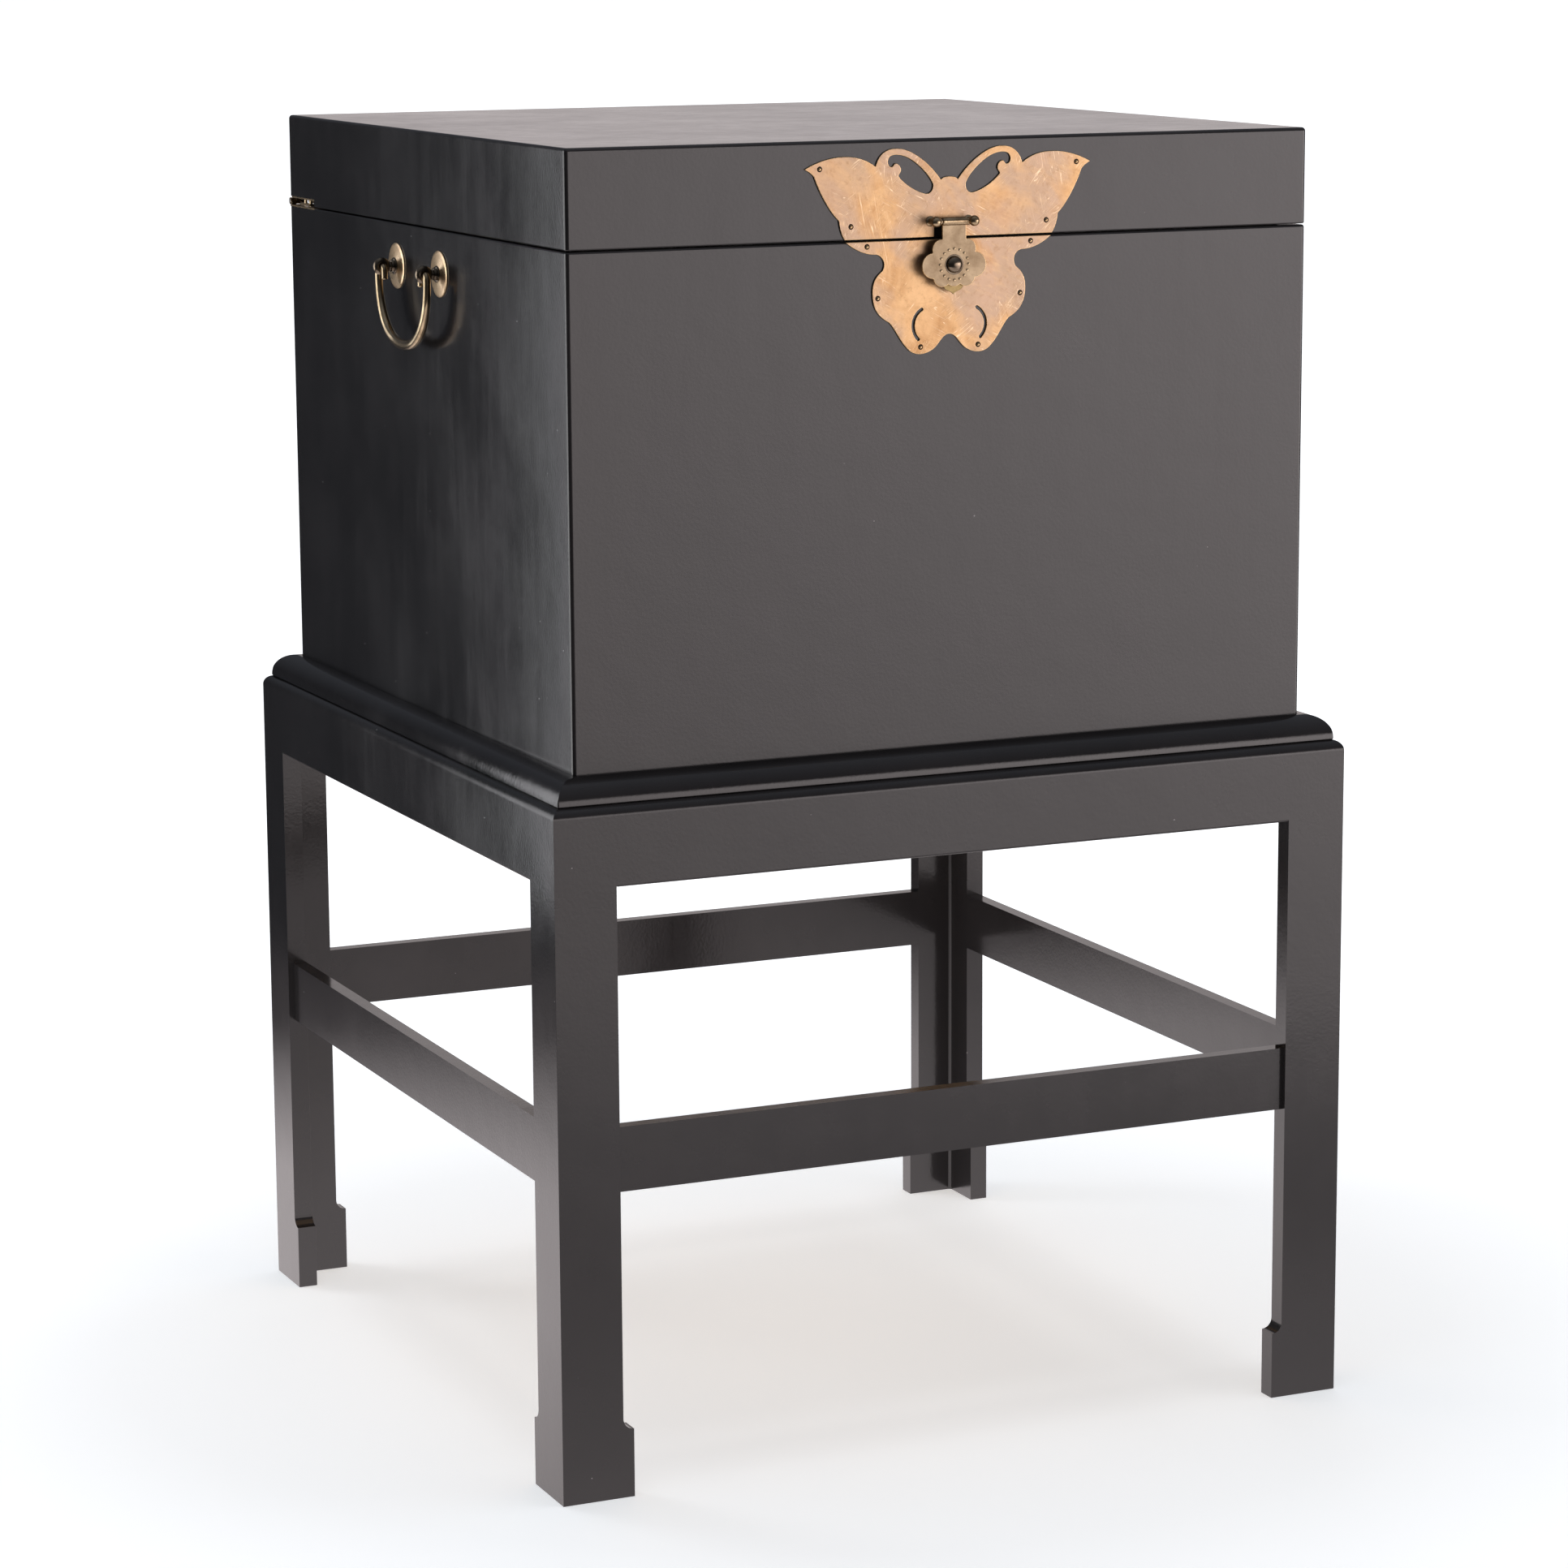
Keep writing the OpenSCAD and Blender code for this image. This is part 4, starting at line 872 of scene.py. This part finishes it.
def barrel():
    """The strap's rolled end, bored for the pin, with two turned grooves."""
    half = STRAP_HALF * MM
    ease_r = 0.4 * MM
    profile = [(-half, PIN_BORE), (-half, BARREL_R - ease_r), (-half + ease_r, BARREL_R)]
    for place in (-GROOVE_AT, GROOVE_AT):
        at = place * half
        profile += [(at - GROOVE_HALF, BARREL_R), (at, BARREL_R - GROOVE_DEEP),
                    (at + GROOVE_HALF, BARREL_R)]
    profile += [(half - ease_r, BARREL_R), (half, BARREL_R - ease_r), (half, PIN_BORE)]
    bm = bmesh.new()
    lathe(bm, profile, (0, PIN_Y, PIN_Z), (1, 0, 0), 40, bored=True)
    return from_bmesh(bm, "hasp_barrel", [BRIGHT], 25)


def knob_shade_ring():
    """A dark ring round the knob's foot: painted shade where the knob stands on the flower."""
    bm = bmesh.new()
    lathe(bm, [(-0.1 * MM, 0), (-0.1 * MM, 7.6 * MM), (0.25 * MM, 7.5 * MM),
               (0.4 * MM, 7.1 * MM), (0.1 * MM, 6.9 * MM), (0.1 * MM, 0)],
          (0, STRAP_FRONT_Y - PLATE_T, FLOWER_Z), (0, -1, 0), 64)
    return from_bmesh(bm, "hasp_knob_shade_ring", [DARK], 25)


def hasp():
    """The flower on its strap, with the barrel, a dark ring of painted shade round the knob and a
    circle of raised dots.
    """
    flower = flat_plate("hasp_flower", petal_outline(), [], FACE_Y - STRAP_FRONT_Y, FLOWER_RIM,
                        FLOWER, FLOWER_Z)
    settle(joined([flower, barrel(), knob_shade_ring()], "hasp_plate_piece"), "hasp_plate")
    points = [(DOT_RING * math.cos(a), STRAP_FRONT_Y - PLATE_T,
               FLOWER_Z + DOT_RING * math.sin(a))
              for a in (2 * math.pi * k / DOTS for k in range(DOTS))]
    dots = studs("hasp_dots", points, DOT_R, DOT_RISE, DOT)
    settle(dots, body=BODY_OF["hasp_plate"], slot="brass")


def knob():
    """The domed knob and, behind the hasp, the rivet head that holds it."""
    back = span("hasp_knob", 1)[1]
    leaf_back = span("hasp_leaf", 1)[1]
    front_y = STRAP_FRONT_Y - PLATE_T
    high = front_y - span("hasp_knob", 1)[0]
    steps = 14
    dome = [(high * math.sin(t), KNOB_R * math.cos(t) ** 0.9)
            for t in (math.pi / 2 * k / steps for k in range(1, steps))]
    bm = bmesh.new()
    lathe(bm, [(-0.3 * MM, 0), (-0.3 * MM, KNOB_R), (0.1 * MM, KNOB_R), *dome, (high, 0)],
          (0, front_y, FLOWER_Z), (0, -1, 0), 48)
    parts = [from_bmesh(bm, "knob_dome", [KNOB], 50)]
    bm = bmesh.new()
    lathe(bm, [(0, 0), (0, RIVET_R), (back - leaf_back - 0.3 * MM, RIVET_R),
               (back - leaf_back, RIVET_R - 0.3 * MM), (back - leaf_back, 0)],
          (0, leaf_back, FLOWER_Z), (0, 1, 0), 32)
    parts.append(from_bmesh(bm, "knob_rivet", [AGED], 40))
    settle(joined(parts, "hasp_knob_piece"), "hasp_knob")


hasp()
knob()
eased_copy("hasp_leaf", LEAF, 0.25 * MM, name="hasp_thumb_leaf")


def ball_post(x):
    """A turned post on the upper plate: a foot, a waist and a ball."""
    reach = FACE_Y - span("hasp_posts", 1)[0]
    r = 4.0 * MM
    centre = reach - r
    profile = [(0, 0), (0, 3.9 * MM), (PLATE_T, 3.9 * MM), (PLATE_T + 0.5 * MM, 3.8 * MM),
               (PLATE_T + 1.1 * MM, 3.1 * MM), (PLATE_T + 1.3 * MM, 2.5 * MM),
               (centre - 4.6 * MM, 2.3 * MM), (centre - 3.6 * MM, 2.5 * MM)]
    for k in range(3, 17):
        t = math.pi * k / 16
        profile.append((centre - r * math.cos(t), r * math.sin(t)))
    profile[-1] = (reach, 0)
    bm = bmesh.new()
    lathe(bm, profile, (x, FACE_Y, PIN_Z), (0, -1, 0), 32)
    return from_bmesh(bm, "post", [BRIGHT], 38)


POST_X = span("hasp_posts", 0)[1] - 3.7 * MM
settle(joined([ball_post(-POST_X), ball_post(POST_X)], "hasp_ball_posts"), "hasp_posts")


def hasp_pin():
    """The pin between the ball posts: plain inside the barrel, turned on either side of it."""
    reach = span("hasp_pin", 0)[1]
    collar = (STRAP_HALF + 0.5) * MM
    neck = POST_X - 2.2 * MM
    mid = (collar + neck) / 2
    bm = bmesh.new()
    half = [(collar, PIN_R), (collar + 0.05 * MM, 2.2 * MM), (collar + 0.5 * MM, 2.3 * MM),
            (mid, 1.8 * MM), (neck - 0.4 * MM, 2.2 * MM), (neck, 2.0 * MM), (neck, PIN_R),
            (reach, PIN_R), (reach, 0)]
    lathe(bm, [(-a, r) for a, r in reversed(half)] + half, (0, PIN_Y, PIN_Z), (1, 0, 0), 32)
    settle(from_bmesh(bm, "hasp_pin_piece", [BRIGHT], 38), "hasp_pin")


hasp_pin()

# ---- Bail pulls ----

EYE_R, EYE_HALF, EYE_HOLE = 7.0 * MM, 3.5 * MM, 2.58 * MM
EYE_GAP = 0.4 * MM
BAIL_BEND = 3.1 * MM
BAIL_LEG_Y = PULL_Y + EYE_HALF + EYE_GAP + BAIL_BEND
BAIL_TAIL_Y = PULL_Y - EYE_HALF - EYE_GAP - BAIL_BEND
BAIL_DROP = BAIL_BEND + 1.0 * MM


def pull_post(hand, y):
    """A turned post: collars and neck out from the rosette, then a rounded eye."""
    out = PULL_X - CHEST_X
    z = PULL_Z
    bm = bmesh.new()
    inside = -14 * MM
    neck = [(inside, 0), (inside, 2.5 * MM), (1.0 * MM, 2.5 * MM), (1.4 * MM, 6.4 * MM),
            (2.6 * MM, 6.6 * MM), (3.4 * MM, 6.0 * MM), (3.7 * MM, 4.6 * MM),
            (4.2 * MM, 4.3 * MM), (4.8 * MM, 4.9 * MM), (5.5 * MM, 4.6 * MM),
            (6.0 * MM, 3.5 * MM), (out - 5.2 * MM, 3.2 * MM), (out - 3.4 * MM, 3.6 * MM),
            (out - 3.3 * MM, 0)]
    lathe(bm, neck, (hand * CHEST_X, y, z), (hand, 0, 0), 32)
    rings = []
    ring = round_profile([(EYE_HOLE, -EYE_HALF), (EYE_R, -EYE_HALF * 0.86),
                          (EYE_R, EYE_HALF * 0.86), (EYE_HOLE, EYE_HALF)],
                         [0.7 * MM, 2.6 * MM, 2.6 * MM, 0.7 * MM], 5)
    turns = 40
    for k in range(turns):
        a = 2 * math.pi * k / turns
        rings.append([Vector((hand * (CHEST_X + out) + p[0] * math.cos(a), y + p[1],
                              z + p[0] * math.sin(a))) for p in ring])
    rings.append(rings[0])
    loft(bm, rings, caps=False)
    return from_bmesh(bm, "post", [DARK], 38)


def rosette(hand, y):
    """The round backplate of a pull, stepped up to its middle."""
    bm = bmesh.new()
    r = ROSETTE_R
    lathe(bm, [(0, 0), (0, r - 0.3 * MM), (0.5 * MM, r), (0.9 * MM, r - 0.3 * MM),
               (1.35 * MM, r - 1.6 * MM), (1.4 * MM, r - 3.0 * MM), (1.9 * MM, r - 8.0 * MM),
               (2.2 * MM, 7.4 * MM), (2.4 * MM, 6.0 * MM), (2.4 * MM, 0)],
          (hand * CHEST_X, y, PULL_Z), (hand, 0, 0), 72)
    return from_bmesh(bm, "rosette", [ROSETTE], 30)


hands = [(h, y) for h in (-1, 1) for y in (-PULL_Y, PULL_Y)]
settle(joined([pull_post(h, y) for h, y in hands], "pull_turned_posts"), "pull_posts")
settle(joined([rosette(h, y) for h, y in hands], "pull_round_rosettes"), "pull_rosettes")


def bail_line():
    """Points down one side of a bail: (y, z, radius), from its tail to its lowest point."""
    thin, leg, thick = 2.5 * MM, 3.0 * MM, 4.1 * MM
    line = [(BAIL_TAIL_Y, -10.0 * MM, 0), (BAIL_TAIL_Y, -10.0 * MM, 1.3 * MM),
            (BAIL_TAIL_Y, -9.6 * MM, 2.2 * MM), (BAIL_TAIL_Y, -8.8 * MM, 2.6 * MM),
            (BAIL_TAIL_Y, -7.6 * MM, 2.3 * MM), (BAIL_TAIL_Y, -6.8 * MM, thin)]
    for k in range(7):
        a = math.pi - math.pi / 2 * k / 6
        line.append((BAIL_TAIL_Y + BAIL_BEND + BAIL_BEND * math.cos(a),
                     -BAIL_BEND + BAIL_BEND * math.sin(a), thin))
    for k in range(7):
        a = math.pi / 2 - math.pi / 2 * k / 6
        line.append((BAIL_LEG_Y - BAIL_BEND + BAIL_BEND * math.cos(a),
                     -BAIL_BEND + BAIL_BEND * math.sin(a), thin + (leg - thin) * k / 6))
    steps = 36
    for k in range(steps + 1):
        a = math.pi / 2 * k / steps
        grow = math.sin(a) ** 1.5
        line.append((BAIL_LEG_Y * max(math.cos(a), 0) ** 0.88,
                     -BAIL_DROP - (BAIL_LEG_Y - 2 * MM) * math.sin(a) ** 0.88,
                     leg + (thick - leg) * grow))
    return line


def bail(hand):
    """A bail swept round its line, thin in the eyes and thick at the bottom of the grip."""
    half = bail_line()
    line = half + [(-y, z, r) for y, z, r in reversed(half[:-1])]
    bm = bmesh.new()
    rings = []
    for i, (y, z, r) in enumerate(line):
        before, after = line[max(i - 1, 0)], line[min(i + 1, len(line) - 1)]
        along = Vector((0, after[0] - before[0], after[1] - before[1])).normalized()
        if i in (0, 1):
            along = Vector((0, 0, 1))
        if i >= len(line) - 2:
            along = Vector((0, 0, -1))
        side = Vector((1, 0, 0)).cross(along)
        r = max(r, 1e-5)
        rings.append([Vector((hand * PULL_X, y, PULL_Z + z))
                      + (Vector((1, 0, 0)) * math.cos(t) + side * math.sin(t)) * r
                      for t in (2 * math.pi * k / 24 for k in range(24))])
    loft(bm, rings)
    name = "left" if hand < 0 else "right"
    settle(from_bmesh(bm, f"bail_{name}_grip", [AGED], 60), f"bail_{name}")


bail(-1)
bail(1)

# ---- Everything else keeps its CAD shape, with eased edges where they show ----

for node, material, width in (
        ("hinge_leaves_chest", BRIGHT, 0.15), ("hinge_leaves_lid", BRIGHT, 0.15),
        ("chest_liners", LACQUER_INSIDE, 0.8), ("tray_runners", LACQUER_INSIDE, 0.8),
        ("tray_sides", LACQUER_INSIDE, 0.8), ("tray_dividers", LACQUER_INSIDE, 0.7),
        ("tray_floor", LACQUER_INSIDE, 0.3), ("mirror_bead", LACQUER_INSIDE, 0.4),
        ("lid_mirror", MIRROR, 0.4), ("catch_stud", AGED, 0.3),
        ("corner_blocks", WOOD, 0.6)):
    eased_copy(node, material, width * MM)

eased_copy("floor_felt", FELT, 0.4 * MM)
eased_copy("tray_felt", FELT, 0.4 * MM)

for node, material in (("hinge_pins", STEEL), ("hinge_screws_chest", BRIGHT),
                       ("hinge_screws_lid", BRIGHT), ("dowels", WOOD), ("deck_board", WOOD),
                       ("frame_screws", STEEL), ("pull_nuts", STEEL),
                       ("chest_bottom", LACQUER_INSIDE)):
    mesh = frame["nodes"][node].data
    mesh.materials.clear()
    mesh.materials.append(material)

# ---- Ring rolls ----

ROLLS = 6
ROLL_SLACK = 1.2 * MM  # how much smaller each roll starts than the room it has
SWELL_CAP = 0.9 * MM
GATHER_RISE, GATHER_REACH, GATHERS = 0.45 * MM, 9 * MM, 13
SEAM_DENT, SEAM_TURN = 0.7 * MM, 0.12
DIMPLE_RISE = 0.18 * MM

def roll_rings(low, high, r, y, thin):
    """Rings of points along one roll, closed in at its gathered ends."""
    rings = []
    steps = 60
    for k in range(steps + 1):
        t = k / steps
        end = min(t, 1 - t) * (high.x - low.x)
        crown = max(0.04, min(1.0, (end / (7 * MM)) ** 0.5))
        x = low.x + thin + (high.x - low.x - 2 * thin) * t
        radius = (r - thin) * crown
        rings.append([Vector((x, y + radius * math.cos(a), (low.z + high.z) / 2
                              + radius * math.sin(a)))
                      for a in (2 * math.pi * j / 32 for j in range(32))])
    return rings


def inflate(obj, reach):
    """Swells a closed cushion as cloth under pressure, each point moving no further than reach."""
    remesh = obj.modifiers.new("remesh", "REMESH")
    remesh.mode = "VOXEL"
    remesh.voxel_size = 4 * MM
    applied(obj)
    before = [v.co.copy() for v in obj.data.vertices]
    cloth = obj.modifiers.new("cloth", "CLOTH")
    cloth.settings.use_pressure = True
    cloth.settings.uniform_pressure_force = 4.0
    cloth.settings.effector_weights.gravity = 0
    cloth.point_cache.frame_start, cloth.point_cache.frame_end = 1, 20
    for step in range(1, 21):
        scene.frame_set(step)
    applied(obj)
    scene.frame_set(1)
    for vertex, old in zip(obj.data.vertices, before):
        move = vertex.co - old
        if move.length > reach:
            vertex.co = old + move.normalized() * reach
    smooth = obj.modifiers.new("smooth", "SUBSURF")
    smooth.levels = smooth.render_levels = 1
    return applied(obj)


def ring_rolls():
    """Padded suede rolls: swollen, gathered at the ends and sewn along their undersides."""
    low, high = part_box("ring_rolls")
    r = (high.z - low.z) / 2
    pitch = (high.y - low.y - 2 * r) / (ROLLS - 1)
    bm = bmesh.new()
    for i in range(ROLLS):
        loft(bm, roll_rings(low, high, r, low.y + r + i * pitch, ROLL_SLACK))
    obj = inflate(from_bmesh(bm, "ring_roll_pads", [SUEDE], 180), SWELL_CAP)
    middle_z = (low.z + high.z) / 2
    for vertex in obj.data.vertices:
        co = vertex.co
        i = min(max(round((co.y - low.y - r) / pitch), 0), ROLLS - 1)
        y = low.y + r + i * pitch
        turn, out = math.atan2(co.z - middle_z, co.y - y), math.hypot(co.y - y, co.z - middle_z)
        end = min(co.x - low.x, high.x - co.x)
        gather = GATHER_RISE * math.sin(GATHERS * turn + i) * math.exp(-max(end, 0) / GATHER_REACH)
        dent = SEAM_DENT * math.exp(-(((turn + math.pi / 2) / SEAM_TURN) ** 2))
        dimple = DIMPLE_RISE * math.sin(co.x * 190 + 3 * turn + 2 * i)
        grow = min(out + gather - dent + dimple, r - 0.05 * MM) / max(out, 1e-6)
        if end > 2 * MM:
            co.y, co.z = y + (co.y - y) * grow, middle_z + (co.z - middle_z) * grow
        co.x = min(max(co.x, low.x + 0.1 * MM), high.x - 0.1 * MM)
    smooth(obj.data)
    settle(obj, "ring_rolls")


ring_rolls()

# ---- Stage, light and camera ----

WARM = (1.03, 0.95, 0.96, 1)
FLOOR_R, CARD_R, BACKDROP_R = 30.0, 1.7, 60.0
CAMERA_PLACE = (-1.533, -3.429, 1.172)
CAMERA_HEADING, CAMERA_PITCH, CAMERA_ROLL = 24.14, 10.69, 0.34
LENS, SENSOR = 107.03, 36.0

def plain_material(name, colour, glow=0.0):
    """A matt material for the stage, which may glow."""
    made, _, _ = finish(name, Roughness=0.9, Base_Color=(*colour, 1), Emission_Color=(1, 1, 1, 1),
                        Emission_Strength=glow, Specular_IOR_Level=0.0)
    return made


def stage_disc(name, radius, z, material):
    """A flat round piece of the stage."""
    bm = bmesh.new()
    bmesh.ops.create_circle(bm, cap_ends=True, segments=96, radius=radius)
    mesh = mesh_from(bm, name, [material])
    mesh.transform(Matrix.Translation((0, 0, z)))
    obj = new_object(name, mesh)
    return obj


def only_seen_by(obj, camera=False, glossy=False, diffuse=False):
    """Limits a stage object to the kinds of ray named; it never casts a shadow."""
    obj.visible_camera = camera
    obj.visible_glossy = glossy
    obj.visible_diffuse = diffuse
    obj.visible_transmission = False
    obj.visible_shadow = False


def distance_out(n, where):
    """How far a point lies from the middle of the stage."""
    reach = n.add("ShaderNodeVectorMath", operation="LENGTH")
    n.put(reach.inputs[0], where)
    return reach.outputs["Value"]


def pale_floor():
    """The floor that the camera sees: it brightens outwards until it meets the backdrop."""
    pale = plain_material("pale_floor", (0.77, 0.81, 0.83))
    n = Nodes(pale.node_tree)
    where = n.add("ShaderNodeTexCoord").outputs["Object"]
    n.put(pale.node_tree.nodes["Principled BSDF"].inputs["Emission Strength"],
          n.span(distance_out(n, where), 0.55, 1.9, 0.54, 1.05))
    only_seen_by(stage_disc("floor", FLOOR_R, 0.0, pale), camera=True)


def backdrop():
    """A white dome behind everything, which only the camera sees."""
    bm = bmesh.new()
    bmesh.ops.create_uvsphere(bm, u_segments=48, v_segments=24, radius=BACKDROP_R)
    white = plain_material("white_backdrop", (0, 0, 0), 1.02)
    dome = new_object("backdrop", mesh_from(bm, "backdrop", [white]))
    only_seen_by(dome, camera=True)


def floor_card():
    """The glow that the floor throws on the object: bright close behind it and out in front."""
    card = plain_material("floor_glow", (0.2, 0.18, 0.18))
    shader = card.node_tree.nodes["Principled BSDF"]
    shader.inputs["Emission Color"].default_value = WARM
    n = Nodes(card.node_tree)
    where = n.add("ShaderNodeTexCoord").outputs["Object"]
    parts = n.add("ShaderNodeSeparateXYZ", {"Vector": where})
    reach = distance_out(n, where)
    behind = n.math("MULTIPLY", n.span(reach, 0.8, 1.35, 1.5, 0.03),
                    n.span(parts.outputs["Y"], -0.9, 0.1))
    front = n.math("MULTIPLY", n.span(parts.outputs["Y"], 0.1, -0.9),
                   n.span(reach, 0.5, 1.7, 0.52, 1.0))
    n.put(shader.inputs["Emission Strength"], n.math("ADD", behind, front))
    only_seen_by(stage_disc("floor_card", CARD_R, -1.0 * MM, card), glossy=True, diffuse=True)


def build_world():
    """Soft panels in the directions that the lacquer mirrors; the ceiling stays dim."""
    world = bpy.data.worlds.new("studio")
    scene.world = world
    world.use_nodes = True
    n = Nodes(world.node_tree)
    sky = world.node_tree.nodes["Background"]
    where = n.add("ShaderNodeTexCoord").outputs["Generated"]
    parts = n.add("ShaderNodeSeparateXYZ", {"Vector": where})
    x, y, z = (parts.outputs[a] for a in "XYZ")
    heading = n.math("ARCTAN2", x, y)
    rise = n.math("ARCSINE", z)

    def band(value, low, high, soft):
        up = n.span(value, math.radians(low - soft), math.radians(low + soft))
        down = n.span(value, math.radians(high + soft), math.radians(high - soft))
        return n.math("MULTIPLY", up, down)

    def panel(az0, az1, az_soft, el0, el1, el_soft, power):
        shape = n.math("MULTIPLY", band(heading, az0, az1, az_soft), band(rise, el0, el1, el_soft))
        return n.math("MULTIPLY", shape, power)

    base = n.span(rise, math.radians(5), math.radians(80), 0.04, 0.36)
    wide = n.math("MULTIPLY", n.span(heading, math.radians(136), math.radians(174), 4.6, 0.7),
                  band(heading, 112, 186, 8))
    drop = n.span(rise, math.radians(-18), math.radians(-4), 0.33, 1.0)
    key = n.math("MULTIPLY", n.math("MULTIPLY", wide, drop), band(rise, -40, 9, 4))
    back = panel(17.6, 32.4, 1.0, -8, 40, 4, 0.62)
    lit = n.math("ADD", key, back)
    shade = n.blend(n.math("MINIMUM", n.math("MULTIPLY", lit, 3.0), 1.0), (0.90, 0.97, 1.12),
                    (1.05, 0.96, 0.96))
    n.put(sky.inputs["Color"], shade)
    n.put(sky.inputs["Strength"], n.math("ADD", base, lit))


def area_light(name, place, aim, width, height, radiance, colour=(1, 1, 1)):
    """A rectangular light aimed at a point; the camera doesn't see it."""
    data = bpy.data.lights.new(name, "AREA")
    data.shape = "RECTANGLE"
    data.size, data.size_y = width, height
    data.energy = radiance * math.pi * width * height
    data.color = colour
    lamp = bpy.data.objects.new(name, data)
    lamp.location = place
    lamp.rotation_mode = "QUATERNION"
    lamp.rotation_quaternion = (Vector(aim) - Vector(place)).to_track_quat("-Z", "Y")
    scene.collection.objects.link(lamp)
    lamp.visible_camera = False
    return lamp


def build_camera():
    """The camera looks down a little and stands to the left of the front."""
    heading, pitch, roll = (math.radians(a) for a in
                            (CAMERA_HEADING, CAMERA_PITCH, CAMERA_ROLL))
    ahead = Vector((math.sin(heading) * math.cos(pitch), math.cos(heading) * math.cos(pitch),
                    -math.sin(pitch)))
    level = Vector((math.cos(heading), -math.sin(heading), 0))
    below = ahead.cross(level)
    right = level * math.cos(roll) + below * math.sin(roll)
    down = below * math.cos(roll) - level * math.sin(roll)
    turn = Matrix((right, -down, -ahead)).transposed().to_4x4()
    data = bpy.data.cameras.new("camera")
    data.lens = LENS
    data.sensor_width = SENSOR
    data.clip_start, data.clip_end = 0.05, 200.0
    camera = bpy.data.objects.new("camera", data)
    camera.matrix_world = Matrix.Translation(CAMERA_PLACE) @ turn
    scene.collection.objects.link(camera)
    scene.camera = camera


pale_floor()
backdrop()
floor_card()
build_world()
area_light("left_strip", (-1.24, 1.15, 0.90), (-0.35, -0.25, 0.90), 0.62, 1.64, 1.9,
           (0.97, 0.97, 1.0))
corner = area_light("corner_strip", (-1.72, 0.42, 0.80), (-0.31, -0.31, 0.80), 1.25, 1.5, 3.0)
corner.visible_diffuse = False
overhead = area_light("overhead", (0.1, 0.0, 2.9), (0, 0, 0), 2.2, 2.2, 2.2, (1.0, 0.97, 0.96))
overhead.visible_glossy = False
build_camera()
